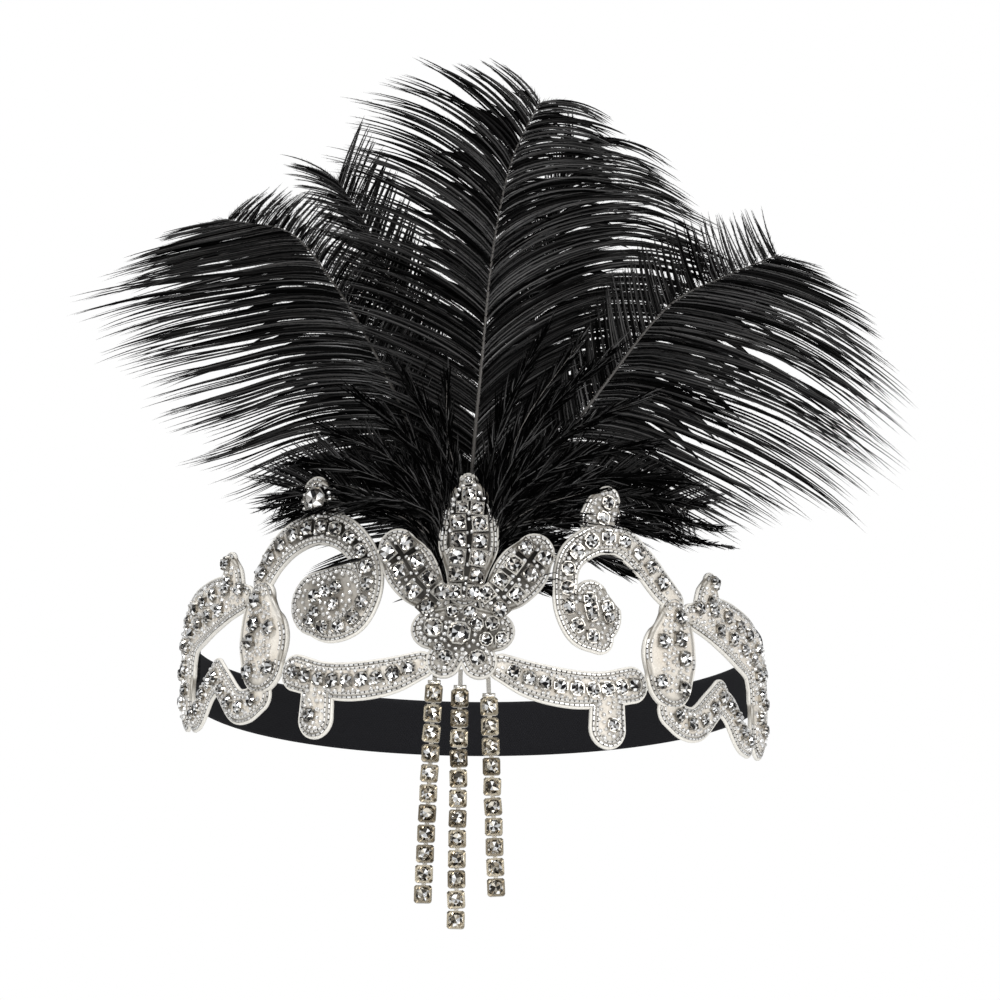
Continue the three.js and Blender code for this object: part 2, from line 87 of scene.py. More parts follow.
def new_material(name):
    """Material with an empty node tree, and the tree."""
    material = bpy.data.materials.new(name)
    material.use_nodes = True
    material.node_tree.nodes.clear()
    return material, material.node_tree


def shade(tree, inputs):
    """Gives a material its Principled shader, with these inputs."""
    shader = add_node(tree, "ShaderNodeBsdfPrincipled", inputs)
    add_node(tree, "ShaderNodeOutputMaterial", {"Surface": shader.outputs["BSDF"]})


def new_object(name, mesh, materials=()):
    made = bpy.data.objects.new(name, mesh)
    scene.collection.objects.link(made)
    for material in materials:
        mesh.materials.append(material)
    return made


def mesh_of(name, bm):
    """Mesh from a bmesh, which is freed."""
    mesh = bpy.data.meshes.new(name)
    bm.to_mesh(mesh)
    bm.free()
    return mesh


floor_drop = 0.32
bm = bmesh.new()
bmesh.ops.create_grid(bm, x_segments=1, y_segments=1, size=6)
bmesh.ops.translate(bm, verts=bm.verts, vec=(0, 0, -floor_drop))
floor_paint, tree = new_material("matt white painted floor")
shade(tree, {"Base Color": linear("#f4f4f3"), "Roughness": 0.9})
floor = new_object("floor", mesh_of("floor", bm), [floor_paint])

# Lamps: name, place, size and power
for name, place, size, power in (
    ("key", (-0.9, -1.3, 1.5), 0.7, 25),
    ("fill", (1.5, -1.2, 0.5), 0.9, 12),
    ("top", (0.1, 0.2, 1.5), 0.8, 10),
    ("low_front", (0.3, -1.6, -0.1), 0.5, 5),
):
    lamp = bpy.data.lights.new(name, "AREA")
    lamp.size = size
    lamp.energy = power
    holder = bpy.data.objects.new(name, lamp)
    scene.collection.objects.link(holder)
    holder.location = place
    towards = Vector((0, 0, 0.03)) - Vector(place)
    holder.rotation_euler = towards.to_track_quat("-Z", "Y").to_euler()

world = bpy.data.worlds.new("studio")
scene.world = world
world.use_nodes = True
tree = world.node_tree
tree.nodes.clear()
path = add_node(tree, "ShaderNodeLightPath")
room = add_node(tree, "ShaderNodeBackground", {"Color": linear("#eceef0"), "Strength": 0.5})
sheet = add_node(tree, "ShaderNodeBackground", {"Color": (1, 1, 1, 1), "Strength": 1.0})
seen = add_node(tree, "ShaderNodeMixShader", {
    0: path.outputs["Is Camera Ray"], 1: room.outputs[0], 2: sheet.outputs[0],
})
add_node(tree, "ShaderNodeOutputWorld", {"Surface": seen.outputs[0]})
scene.view_settings.view_transform = "Standard"

# The seat: the band follows an ellipse round the head. A place on it is given by its arc from the
# centre front towards +X, its offset outwards and its height, all in millimetres.
MM = 0.001
head_half_width = 78
head_half_depth = 91.5
seat_steps = 5760
turn = np.linspace(-math.pi / 2, 1.5 * math.pi, seat_steps + 1)
seat_x = head_half_width * np.cos(turn)
seat_y = head_half_depth * np.sin(turn)
seat_arc = np.concatenate([[0], np.cumsum(np.hypot(np.diff(seat_x), np.diff(seat_y)))])
seat_length = seat_arc[-1]


def seat_frame(arc):
    """Points on the ellipse at these arcs, with the directions along it and outwards."""
    angle = np.interp(np.mod(arc, seat_length), seat_arc, turn)
    along = np.stack([-head_half_width * np.sin(angle), head_half_depth * np.cos(angle)], -1)
    along /= np.linalg.norm(along, axis=-1, keepdims=True)
    at = np.stack([head_half_width * np.cos(angle), head_half_depth * np.sin(angle)], -1)
    return at, along, np.stack([along[..., 1], -along[..., 0]], -1)


def seat_point(arc, offset, height):
    """Points in metres at arc, offset and height in millimetres."""
    at, _, out = seat_frame(arc)
    flat = at + out * np.asarray(offset)[..., None]
    height = np.broadcast_to(height, flat.shape[:-1])
    return np.concatenate([flat, height[..., None]], -1) * MM


def put(name, mesh, materials, replaced=()):
    """Object that rides on the root body and stands for the replaced CAD nodes."""
    made = new_object(name, mesh, materials)
    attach(made, "root")
    if replaced:
        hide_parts(*replaced)
    return made


def finished(name, bm, materials, replaced=()):
    """Object from a bmesh of closed, smooth shapes."""
    bmesh.ops.remove_doubles(bm, verts=bm.verts, dist=0.004 * MM)
    bmesh.ops.recalc_face_normals(bm, faces=bm.faces)
    mesh = mesh_of(name, bm)
    mesh.polygons.foreach_set("use_smooth", [True] * len(mesh.polygons))
    return put(name, mesh, materials, replaced)


# Elastic band: 16 mm black woven elastic, sewn behind the two ends of the lace and running
# round the back of the head. Polyester yarn over rubber cords, matt, with fine ribs along it.
elastic_width = 16
elastic_wall = 1.2
elastic_start = 101
elastic_cord = 1.1 * MM  # spacing of the rubber cords that the yarn ribs over
elastic_yarn = 0.55 * MM  # spacing of the cross yarns, drawn coarser than the real 0.3 mm

# The ribs and yarns show as a soft check that keeps the black from looking like plastic
woven, tree = new_material("black woven elastic")
uv = add_node(tree, "ShaderNodeUVMap", uv_map="cloth")
parts = add_node(tree, "ShaderNodeSeparateXYZ", {"Vector": uv.outputs["UV"]})
ribs = add_node(tree, "ShaderNodeMath", {0: parts.outputs["Y"], 1: 2 * math.pi / elastic_cord},
                operation="MULTIPLY")
yarns = add_node(tree, "ShaderNodeMath", {0: parts.outputs["X"], 1: 2 * math.pi / elastic_yarn},
                 operation="MULTIPLY")
rib_wave = add_node(tree, "ShaderNodeMath", {0: ribs.outputs[0]}, operation="SINE")
yarn_wave = add_node(tree, "ShaderNodeMath", {0: yarns.outputs[0]}, operation="SINE")
weave = add_node(tree, "ShaderNodeMath", {0: rib_wave.outputs[0], 1: yarn_wave.outputs[0]},
                 operation="MULTIPLY")
colour = add_node(tree, "ShaderNodeMix", {
    0: weave.outputs[0], 6: linear("#101013"), 7: linear("#1d1d22"),
}, data_type="RGBA")
bump = add_node(tree, "ShaderNodeBump", {
    "Strength": 0.5, "Distance": 0.12 * MM, "Height": weave.outputs[0],
})
shade(tree, {
    "Base Color": colour.outputs[2], "Normal": bump.outputs["Normal"], "Roughness": 0.85,
    "Specular IOR Level": 0.2,
})


def grid_places(bm, rows, columns):
    """Grid of faces, and the row and column number of each of its vertices."""
    bmesh.ops.create_grid(bm, x_segments=rows - 1, y_segments=columns - 1, size=1)
    co = np.array([v.co[:] for v in bm.verts])
    row = np.rint((co[:, 0] + 1) / 2 * (rows - 1)).astype(int)
    column = np.rint((co[:, 1] + 1) / 2 * (columns - 1)).astype(int)
    return row, column


def thick_sheet(bm, rows, columns, outer, inner):
    """Closed plate: a grid shaped to the outer points, and its extruded copy to the inner ones.
    Both are arrays of rows by columns points."""
    row, column = grid_places(bm, rows, columns)
    first = list(bm.verts)
    lifted = bmesh.ops.extrude_face_region(bm, geom=bm.faces[:])
    second = [g for g in lifted["geom"] if isinstance(g, bmesh.types.BMVert)]
    where = {tuple(np.round(v.co[:2], 6)): i for i, v in enumerate(first)}
    match = [where[tuple(np.round(v.co[:2], 6))] for v in second]
    for i, v in enumerate(first):
        v.co = inner[row[i], column[i]]
    for i, v in zip(match, second):
        v.co = outer[row[i], column[i]]


elastic_rows = 260
elastic_arc = np.linspace(elastic_start, seat_length - elastic_start, elastic_rows)
elastic_height = np.array([-0.5, -0.47, -0.4, -0.2, 0, 0.2, 0.4, 0.47, 0.5]) * elastic_width
edge_thin = np.array([0.4, 0.12, 0, 0, 0, 0, 0, 0.12, 0.4]) * elastic_wall
arc_grid = np.repeat(elastic_arc[:, None], len(elastic_height), 1)
bm = bmesh.new()
thick_sheet(
    bm, elastic_rows, len(elastic_height),
    seat_point(arc_grid, -edge_thin, elastic_height),
    seat_point(arc_grid, edge_thin - elastic_wall, elastic_height),
)
elastic = finished("elastic_webbing", bm, [woven], ["elastic_band"])
cloth = elastic.data.uv_layers.new(name="cloth")
mean_radius = 85 * MM
for loop in elastic.data.loops:
    x, y, z = elastic.data.vertices[loop.vertex_index].co
    angle = math.atan2(x / head_half_width, y / head_half_depth)
    cloth.data[loop.index].uv = (angle * mean_radius, z)

# Lace: an appliqué of stiffened ivory net, cut out in scrolls and leaves. Each motif is one plate
# made of strokes, with a thin raised rim, a groove for the edging and a padded middle.
lace_reach = 120
lace_rise = 34
lace_bottom = 0.3
lace_tilt = math.radians(2.2)
lace_shift = 0.6


def smooth_line(rows, step):
    """Centripetal curve through the rows, sampled about every step millimetres of its length."""
    rows = np.array(rows, float)
    ends = np.vstack([2 * rows[0] - rows[1], rows, 2 * rows[-1] - rows[-2]])
    pieces = []
    t = np.linspace(0, 1, 32, endpoint=False)[:, None]
    for a, b, c, d in zip(ends, ends[1:], ends[2:], ends[3:]):
        gap = [max(np.linalg.norm(q - p) ** 0.5, 1e-6) for p, q in ((a, b), (b, c), (c, d))]
        start = ((b - a) / gap[0] - (c - a) / (gap[0] + gap[1]) + (c - b) / gap[1]) * gap[1]
        end = ((c - b) / gap[1] - (d - b) / (gap[1] + gap[2]) + (d - c) / gap[2]) * gap[1]
        pieces.append(
            (2 * t**3 - 3 * t**2 + 1) * b + (t**3 - 2 * t**2 + t) * start
            + (3 * t**2 - 2 * t**3) * c + (t**3 - t**2) * end
        )
    line = np.vstack([*pieces, rows[-1:]])
    length = np.concatenate([[0], np.cumsum(np.linalg.norm(np.diff(line, axis=0), axis=1))])
    even = np.linspace(0, length[-1], max(2, round(length[-1] / step)) + 1)
    return np.stack([np.interp(even, length, line[:, k]) for k in range(line.shape[1])], -1)


def stroke_line(rows, side, step):
    """Middle line of a stroke: x, y and half width in millimetres on the flat lace."""
    scale = np.array([side * lace_reach, lace_rise, lace_rise])
    return smooth_line(np.array(rows) * scale, step)


def on_lace(x, y, offset):
    """Places on the flat lace, in metres on the band, with the lace's tilt."""
    arc = lace_shift + x * math.cos(lace_tilt) + y * math.sin(lace_tilt)
    height = y * math.cos(lace_tilt) - x * math.sin(lace_tilt)
    return seat_point(arc, offset, height)


def depth_in(x, y, lines):
    """How deep each place lies inside the strokes, in millimetres. Outside it is negative."""
    discs = np.vstack(lines)
    gap = np.hypot(x[..., None] - discs[:, 0], y[..., None] - discs[:, 1])
    return (discs[:, 2] - gap).max(-1)


# Motifs: lift is how high a motif lies over its neighbours, in millimetres. Strokes give
# u, v, half as shares of the lace's reach, rise and rise. Stones give the stroke, from, to, count,
# beside and radius; beside and radius in millimetres.
motifs = {
    "flower": {
        "lift": 0.9,
        "strokes": {
            "wings": [[-0.067, -0.175, 0.145], [0, -0.2, 0.21], [0.067, -0.175, 0.145]],
            "foot_left": [[-0.02, -0.28, 0.13], [-0.037, -0.41, 0.13]],
            "foot_right": [[0.02, -0.28, 0.13], [0.037, -0.41, 0.13]],
        },
        "stones": [
            ("wings", 0.46, 0.46, 1, -0.5, 3.0), ("wings", 0.06, 0.06, 1, 0.2, 2.6),
            ("wings", 0.72, 0.95, 2, 1.9, 1.9), ("wings", 0.84, 1.08, 2, -2.0, 1.8),
            ("wings", 0.3, 0.62, 2, 5.2, 1.9), ("wings", 0.2, 0.2, 1, -4.4, 1.5),
            ("foot_left", 0.8, 0.8, 1, 0.3, 2.1), ("foot_right", 0.8, 0.8, 1, -0.3, 2.1),
        ],
    },
    "top_petal": {
        "lift": 0.3,
        "strokes": {"blade": [
            [0, 0.12, 0.12], [0.003, 0.28, 0.16], [0.004, 0.45, 0.22], [0.004, 0.6, 0.215],
            [0.003, 0.75, 0.19], [0, 0.87, 0.13], [-0.002, 0.945, 0.075],
        ]},
        "stones": [
            ("blade", -0.02, 0.6, 5, -2.6, 2.2), ("blade", -0.02, 0.6, 5, 2.6, 2.2),
            ("blade", 0.73, 0.73, 1, -1.9, 1.7), ("blade", 0.74, 0.74, 1, 1.9, 1.7),
            ("blade", 0.87, 0.87, 1, 0, 1.9), ("blade", 1.02, 1.02, 1, 0, 1.2),
        ],
    },
    "petal": {
        "lift": 0.6,
        "strokes": {"blade": [
            [0.058, 0.04, 0.1], [0.09, 0.16, 0.175], [0.122, 0.32, 0.195], [0.144, 0.44, 0.15],
        ]},
        "stones": [
            ("blade", 0.0, 1, 4, -2.6, 2.2), ("blade", 0.02, 0.96, 4, 2.6, 2.2),
        ],
    },
    "scroll_left": {
        "lift": 0.3,
        "strokes": {
            "arc": [
                [0.35, -0.05, 0.11], [0.295, -0.14, 0.115], [0.24, -0.09, 0.115],
                [0.21, 0.09, 0.115], [0.208, 0.28, 0.115], [0.232, 0.45, 0.12],
                [0.275, 0.58, 0.13], [0.335, 0.633, 0.135], [0.403, 0.565, 0.13],
                [0.455, 0.44, 0.125], [0.492, 0.28, 0.11],
            ],
            "leaf": [[0.27, 0.12, 0.22], [0.33, 0.05, 0.245]],
        },
        "stones": [
            ("arc", 0.02, 0.97, 16, 0.2, 2.0), ("leaf", 0.05, 0.9, 3, 1.6, 1.9),
            ("leaf", 0.3, 1.05, 2, -2.4, 1.7),
        ],
    },
    "scroll_right": {
        "lift": 0.3,
        "strokes": {
            "arc": [
                [0.295, -0.15, 0.12], [0.25, -0.12, 0.11], [0.22, 0.03, 0.1], [0.213, 0.2, 0.1],
                [0.2145, 0.35, 0.1], [0.23, 0.47, 0.11], [0.28, 0.6, 0.12], [0.335, 0.62, 0.125],
                [0.397, 0.495, 0.12], [0.4525, 0.335, 0.12], [0.4925, 0.245, 0.105],
            ],
            "leaf": [[0.272, 0.15, 0.14], [0.28, 0.03, 0.235]],
        },
        "stones": [
            ("arc", 0.04, 0.97, 13, 0, 2.0), ("leaf", 0.1, 1.05, 3, -1.2, 1.9),
            ("leaf", 0.7, 1.3, 2, 3.4, 1.7),
        ],
    },
    "knob_left": {
        "lift": 0.1,
        "strokes": {"bud": [[0.315, 0.75, 0.14], [0.34, 0.85, 0.165], [0.345, 0.92, 0.11]]},
        "stones": [("bud", 0.5, 0.5, 1, 0, 3.1), ("bud", 1.1, 1.1, 1, 0, 1.4)],
    },
    "knob_right": {
        "lift": 0.1,
        "strokes": {"bud": [[0.287, 0.74, 0.17], [0.297, 0.86, 0.15], [0.306, 0.93, 0.1]]},
        "stones": [("bud", 0.15, 0.75, 2, 0, 1.9)],
    },
    "cluster": {
        "lift": 0.6,
        "strokes": {"body": [
            [0.49, 0.14, 0.14], [0.492, 0, 0.22], [0.484, -0.18, 0.28], [0.484, -0.35, 0.24],
        ]},
        "stones": [
            ("body", 0.05, 0.4, 2, 0.8, 2.1), ("body", 0.55, 1.1, 2, -4.4, 2.0),
            ("body", 0.66, 1.14, 2, 3.6, 2.1),
        ],
    },
    "band": {
        "lift": 0.3,
        "strokes": {
            "strip": [
                [0.085, -0.44, 0.105], [0.15, -0.52, 0.14], [0.233, -0.555, 0.147],
                [0.308, -0.53, 0.137], [0.38, -0.46, 0.14],
            ],
            "drop": [[0.32, -0.65, 0.147], [0.322, -0.82, 0.155]],
        },
        "stones": [
            ("strip", 0.08, 0.99, 9, 0, 1.95), ("drop", 0.85, 0.85, 1, 0.8, 1.8),
        ],
    },
    "outer_leaf": {
        "lift": 0.3,
        "strokes": {
            "tip": [[0.6, 0.22, 0.15], [0.612, 0.36, 0.15], [0.62, 0.47, 0.09]],
            "body": [
                [0.55, 0.17, 0.1], [0.64, 0.19, 0.19], [0.75, 0.14, 0.235], [0.84, 0.07, 0.25],
                [0.89, -0.12, 0.28], [0.9, -0.32, 0.28], [0.89, -0.5, 0.22],
            ],
        },
        "stones": [
            ("body", 0.03, 0.97, 9, 2.4, 1.9), ("body", 0.2, 0.95, 7, -2.6, 1.9),
            ("tip", 0.35, 1, 2, 0, 1.8),
        ],
    },
    "wave": {
        "lift": 0.1,
        "strokes": {
            "dip": [
                [0.49, -0.6, 0.13], [0.53, -0.66, 0.135], [0.575, -0.65, 0.135],
                [0.63, -0.49, 0.13], [0.67, -0.365, 0.125],
            ],
            "fall": [
                [0.652, -0.4, 0.1], [0.71, -0.45, 0.13], [0.77, -0.61, 0.135], [0.81, -0.63, 0.13],
            ],
        },
        "stones": [("dip", 0.08, 0.95, 5, 0, 1.8), ("fall", 0.25, 0.95, 4, 0, 1.8)],
    },
}
laid = [
    ("flower", "flower", 1), ("petal_left", "petal", -1), ("petal_right", "petal", 1),
    ("top_petal", "top_petal", 1), ("scroll_left", "scroll_left", -1),
    ("scroll_right", "scroll_right", 1),
    ("knob_left", "knob_left", -1), ("knob_right", "knob_right", 1),
    ("cluster_left", "cluster", -1), ("cluster_right", "cluster", 1),
    ("band_left", "band", -1), ("band_right", "band", 1),
    ("outer_leaf_left", "outer_leaf", -1), ("outer_leaf_right", "outer_leaf", 1),
    ("wave_left", "wave", -1), ("wave_right", "wave", 1),
]
line_step = 0.8  # millimetres between the rows of a plate
motif_lines = {
    name: [stroke_line(rows, side, line_step) for rows in motifs[key]["strokes"].values()]
    for name, key, side in laid
}

# Height of a plate's face over its back, by the depth inside its outline, in millimetres
profile_depth = np.array([0, 0.12, 0.3, 0.55, 0.75, 1.15, 1.45, 1.8, 2.4])
groove_floor = 0.5
plate_cover = 1.2
profile_height = [0.3, 0.55, 0.68, 0.68, groove_floor, groove_floor, 0.78, 1.08, plate_cover]
groove_depth = [0.45, 0.75, 1.15, 1.45, 1.8, 2.3]  # where the two rows of edging are sewn

# Feathers show through the net where they lie right behind it, so it looks dark there. They
# reach further out on the left. Millimetres on the flat lace.
shade_left = -56
shade_right = 42
shade_bottom = 1


def feather_shade(x, y):
    """How dark the feathers behind make the net, from 0 to 1."""
    side = np.clip((shade_right - x) / 16, 0, 1) * np.clip((x - shade_left) / 12, 0, 1)
    rise = np.clip((y - shade_bottom + 0.06 * np.abs(x)) / 12, 0, 1)
    return side * rise


# Cotton net under clear resin: a cloudy ivory with a fine mesh in relief and a soft wet gloss,
# with painted shade darkening the grooves, and near black where feathers show through it
net, tree = new_material("ivory stiffened net")
place = add_node(tree, "ShaderNodeTexCoord")
shadow = add_node(tree, "ShaderNodeAttribute", attribute_name="shade")
middle = add_node(tree, "ShaderNodeAttribute", attribute_name="middle")
groove = add_node(tree, "ShaderNodeAttribute", attribute_name="groove")
cloud = add_node(tree, "ShaderNodeTexNoise", {
    "Vector": place.outputs["Object"], "Scale": 170.0, "Detail": 4.0,
})
mesh_holes = add_node(tree, "ShaderNodeTexVoronoi", {
    "Vector": place.outputs["Object"], "Scale": 1 / (0.9 * MM),
}, feature="DISTANCE_TO_EDGE")
ivory = add_node(tree, "ShaderNodeMix", {
    0: cloud.outputs["Fac"], 6: linear("#eeeae2"), 7: linear("#cfc3b3"),
}, data_type="RGBA")
rim = add_node(tree, "ShaderNodeMix", {
    0: middle.outputs["Fac"], 6: linear("#e4e0d8"), 7: ivory.outputs[2],
}, data_type="RGBA")
# Painted shade: the grooves where the edging is sewn are darkened towards a grey brown
groove_shaded = add_node(tree, "ShaderNodeMix", {
    0: groove.outputs["Fac"], 6: rim.outputs[2], 7: linear("#7d766b"),
}, data_type="RGBA")
# Near black where the feathers show through the net, and as painted shade between the stones
reach = add_node(tree, "ShaderNodeMath", {0: middle.outputs["Fac"], 1: 0.62, 2: 0.36},
                 operation="MULTIPLY_ADD")
dark = add_node(tree, "ShaderNodeMath", {0: shadow.outputs["Fac"], 1: reach.outputs[0]},
                operation="MULTIPLY")
behind = add_node(tree, "ShaderNodeMix", {
    0: dark.outputs[0], 6: groove_shaded.outputs[2], 7: linear("#0a0908"),
}, data_type="RGBA")
relief = add_node(tree, "ShaderNodeMath", {
    0: mesh_holes.outputs["Distance"], 1: cloud.outputs["Fac"],
}, operation="ADD")
bump = add_node(tree, "ShaderNodeBump", {
    "Strength": 0.6, "Distance": 0.25 * MM, "Height": relief.outputs[0],
})
gloss = add_node(tree, "ShaderNodeMath", {0: dark.outputs[0], 1: -0.32, 2: 0.32},
                 operation="MULTIPLY_ADD")
shade(tree, {
    "Base Color": behind.outputs[2], "Normal": bump.outputs["Normal"], "Roughness": 0.45,
    "Specular IOR Level": gloss.outputs[0], "Coat Weight": gloss.outputs[0], "Coat Roughness": 0.2,
})


def headings(line):
    """Unit directions along a line of places."""
    along = np.gradient(line[:, :2], axis=0)
    return along / np.linalg.norm(along, axis=1, keepdims=True)


def stroke_grid(line):
    """Places across a stroke, row by row, with rows that close in at its two round ends."""
    along = headings(line)
    turns = np.radians([90, 78, 64, 50, 36, 22, 10])

    def round_end(k, sign, angles):
        half, heading = line[k, 2], along[k]
        for angle in angles:
            at = line[k, :2] + sign * heading * half * math.sin(angle)
            yield (*at, half * math.cos(angle), half, heading)

    rows = [*round_end(0, -1, turns)]
    rows += [(*place, place[2], heading) for place, heading in zip(line, along)]
    rows += round_end(-1, 1, turns[::-1])
    x, y, reach, half, heading = (np.array([row[k] for row in rows]) for k in range(5))
    half = half[:, None]
    edge = profile_depth * np.minimum(1, half / (profile_depth[-1] * 1.2))
    side = 1 - edge / half
    across = np.hstack([-side, np.zeros((len(x), 1)), side[:, ::-1]]) * reach[:, None]
    return x[:, None] - heading[:, 1:] * across, y[:, None] + heading[:, :1] * across


def flat_places(co):
    """Flat x and y on the lace of places in millimetres on the band, the inverse of on_lace."""
    angle = np.arctan2(co[:, 1] / head_half_depth, co[:, 0] / head_half_width)
    arc = np.interp(np.where(angle < -math.pi / 2, angle + 2 * math.pi, angle), turn, seat_arc)
    arc = np.where((co[:, 0] < 0) & (arc > seat_length / 2), arc - seat_length, arc) - lace_shift
    cos, sin = math.cos(lace_tilt), math.sin(lace_tilt)
    return arc * cos - co[:, 2] * sin, co[:, 2] * cos + arc * sin


# Painted shade of the deep gaps between tall stones: how dark it makes some strokes, from 0 to 1
stone_gap_shade = {
    "blade": 0.95, "wings": 0.85, "foot_left": 0.4, "foot_right": 0.4, "leaf": 0.55, "bud": 0.6,
}
overlap_step = 0.03  # keeps the faces of strokes that cross from lying in one plane
for name, key, side in laid:
    lift = motifs[key]["lift"]
    bm = bmesh.new()
    for number, line in enumerate(motif_lines[name]):
        x, y = stroke_grid(line)
        depth = np.maximum(depth_in(x, y, motif_lines[name]), 0)
        rise = np.interp(depth, profile_depth, profile_height) + overlap_step * number
        top = on_lace(x, y, lace_bottom + lift + rise)
        bottom = on_lace(x, y, np.full(x.shape, lace_bottom))
        part = bmesh.new()
        thick_sheet(part, *x.shape, top, bottom)
        piece = mesh_of("stroke", part)
        bm.from_mesh(piece)
        bpy.data.meshes.remove(piece)
    plate = finished(f"net_{name}", bm, [net], [f"lace_{name}"])
    x, y = flat_places(np.array([v.co[:] for v in plate.data.vertices]) / MM)
    inside = depth_in(x, y, motif_lines[name])
    shadow = feather_shade(x, y)
    for stroke, line in zip(motifs[key]["strokes"], motif_lines[name]):
        within = depth_in(x, y, [line]) > -0.2
        shadow = np.maximum(shadow, within * stone_gap_shade.get(stroke, 0))
    # shade holds the feathers seen through and the painted shade between stones; groove weights the
    # painted groove shade
    for attribute, values in (
        ("shade", shadow),
        ("middle", np.clip((inside - 2.0) / 0.4, 0, 1)),
        ("groove", np.interp(inside, groove_depth, [0, 1, 1, 0.1, 1, 0])),
    ):
        made = plate.data.attributes.new(attribute, "FLOAT", "POINT")
        made.data.foreach_set("value", values.astype(np.float32))

# Edging: a line of bugle beads sewn in the groove inside each motif's rim, with a fine white
# cord beside it. Silver-lined clear glass, 1.1 mm long and 0.6 mm thick.
bugle_length = 1.05
bugle_pitch = 1.36
bugle_radius = 0.29
bugle_inset = 0.9
stitch_radius = 0.25
stitch_length = 0.95
stitch_pitch = 1.25
stitch_inset = 1.85


def glinting(name, dull, bright, finish):
    """Material of many small pieces, with painted glints: each face takes its tone, from dull
    to bright, from its glint.
    """
    material, tree = new_material(name)
    glint = add_node(tree, "ShaderNodeAttribute", attribute_name="glint")
    tone = add_node(tree, "ShaderNodeMix", {
        0: glint.outputs["Fac"], 6: linear(dull), 7: linear(bright),
    }, data_type="RGBA")
    shade(tree, {"Base Color": tone.outputs[2], **finish})
    return material


# Drawn glass with silver in its bore: half metal, half glass to the eye, with a painted glint on
# each face. The thread is cotton, made near black as painted shade in the gaps between the beads.
silver_lined = glinting(
    "silver-lined glass bugle", "#a7a39d", "#ffffff", {"Metallic": 0.45, "Roughness": 0.22},
)
gap_shade_thread, tree = new_material("sewing thread darkened as painted gap shade")
shade(tree, {"Base Color": linear("#15120f"), "Roughness": 0.8})


def repeated(name, mesh, places, rng):
    """Mesh made of a copy of a mesh at each place, a 4 by 4 array, with a random glint a face."""
    co = np.array([v.co[:] + (1,) for v in mesh.vertices])
    laid_co = np.einsum("nij,vj->nvi", places, co)[..., :3].reshape(-1, 3)
    faces = [tuple(p.vertices) for p in mesh.polygons]
    step = len(mesh.vertices)
    made = bpy.data.meshes.new(name)
    made.from_pydata(
        laid_co.tolist(), [],
        [tuple(i + n * step for i in face) for n in range(len(places)) for face in faces],
    )
    kinds = [p.material_index for p in mesh.polygons] * len(places)
    made.polygons.foreach_set("material_index", kinds)
    glints = made.attributes.new("glint", "FLOAT", "FACE")
    glints.data.foreach_set("value", rng.random(len(kinds)).astype(np.float32))
    return made


def frames_on_lace(x, y, heading, offset, size=1.0):
    """4 by 4 places on the lace: X along the heading, Z out of the face, in metres."""
    at = on_lace(x, y, offset)
    step = 0.05
    ahead = on_lace(x + heading[:, 0] * step, y + heading[:, 1] * step, offset)
    e1 = ahead - at
    e1 /= np.linalg.norm(e1, axis=1, keepdims=True)
    arc = lace_shift + x * math.cos(lace_tilt) + y * math.sin(lace_tilt)
    e3 = np.concatenate([seat_frame(arc)[2], np.zeros((len(x), 1))], 1)
    scale = np.broadcast_to(size, len(x))[:, None]
    places = np.zeros((len(x), 4, 4))
    places[:, :3] = np.stack([e1 * scale, np.cross(e3, e1) * scale, e3 * scale, at], -1)
    places[:, 3, 3] = 1
    return places


def covered(x, y, name, margin):
    """True where a motif that lies higher covers the place."""
    lift = {n: motifs[k]["lift"] for n, k, _ in laid}
    hidden = np.zeros(np.shape(x), bool)
    for other, lines in motif_lines.items():
        if lift[other] > lift[name]:
            hidden |= depth_in(x, y, lines) > margin
    return hidden


def contour(name, inset, pitch):
    """Places and headings along a motif's outline, inset from it, about pitch apart."""
    places = []
    for line in motif_lines[name]:
        along = headings(line)
        normal = np.stack([-along[:, 1], along[:, 0]], 1)
        half = (line[:, 2] - inset)[:, None]
        left = line[:, :2] + normal * half
        right = (line[:, :2] - normal * half)[::-1]
        turns = np.linspace(0, math.pi, 14)[1:-1, None]
        tail = line[-1, :2] + half[-1] * (normal[-1] * np.cos(turns) + along[-1] * np.sin(turns))
        head = line[0, :2] - half[0] * (normal[0] * np.cos(turns) + along[0] * np.sin(turns))
        loop = np.vstack([left, tail, right, head, left[:1]])
        length = np.concatenate([[0], np.cumsum(np.linalg.norm(np.diff(loop, axis=0), axis=1))])
        even = np.arange(0, length[-1] - pitch / 2, length[-1] / round(length[-1] / pitch))
        at, ahead = (
            np.stack([np.interp(np.mod(even + step, length[-1]), length, xy) for xy in loop.T], 1)
            for step in (0, 0.3)
        )
        heading = ahead - at
        heading /= np.linalg.norm(heading, axis=1, keepdims=True)
        shown = depth_in(at[:, 0], at[:, 1], motif_lines[name]) < inset + 0.2
        shown &= ~covered(at[:, 0], at[:, 1], name, -0.2)
        places.append(np.hstack([at, heading])[shown])
    return np.vstack(places)


thread_radius = 0.25


def faces_of(made):
    """Faces of the shape that an operator made."""
    return {f for v in made["verts"] for f in v.link_faces}


def bead_on_thread(name, radius, length, pitch, sides):
    """A bead or stitch along X on the bit of thread that runs through it and shows beside it."""
    bm = bmesh.new()
    lengthwise = Matrix.Rotation(math.pi / 2, 4, "Y")
    for kind, half, long, count in ((1, thread_radius, pitch, 4), (0, radius, length, sides)):
        made = bmesh.ops.create_cone(
            bm, cap_ends=kind == 0, segments=count, radius1=half * MM, radius2=half * MM,
            depth=long * MM, matrix=lengthwise,
        )
        for face in faces_of(made):
            face.material_index = kind
            face.smooth = True
    return mesh_of(name, bm)


bugle = bead_on_thread("bugle", bugle_radius, bugle_length, bugle_pitch, 6)
stitch = bead_on_thread("stitch", stitch_radius, stitch_length, stitch_pitch, 5)

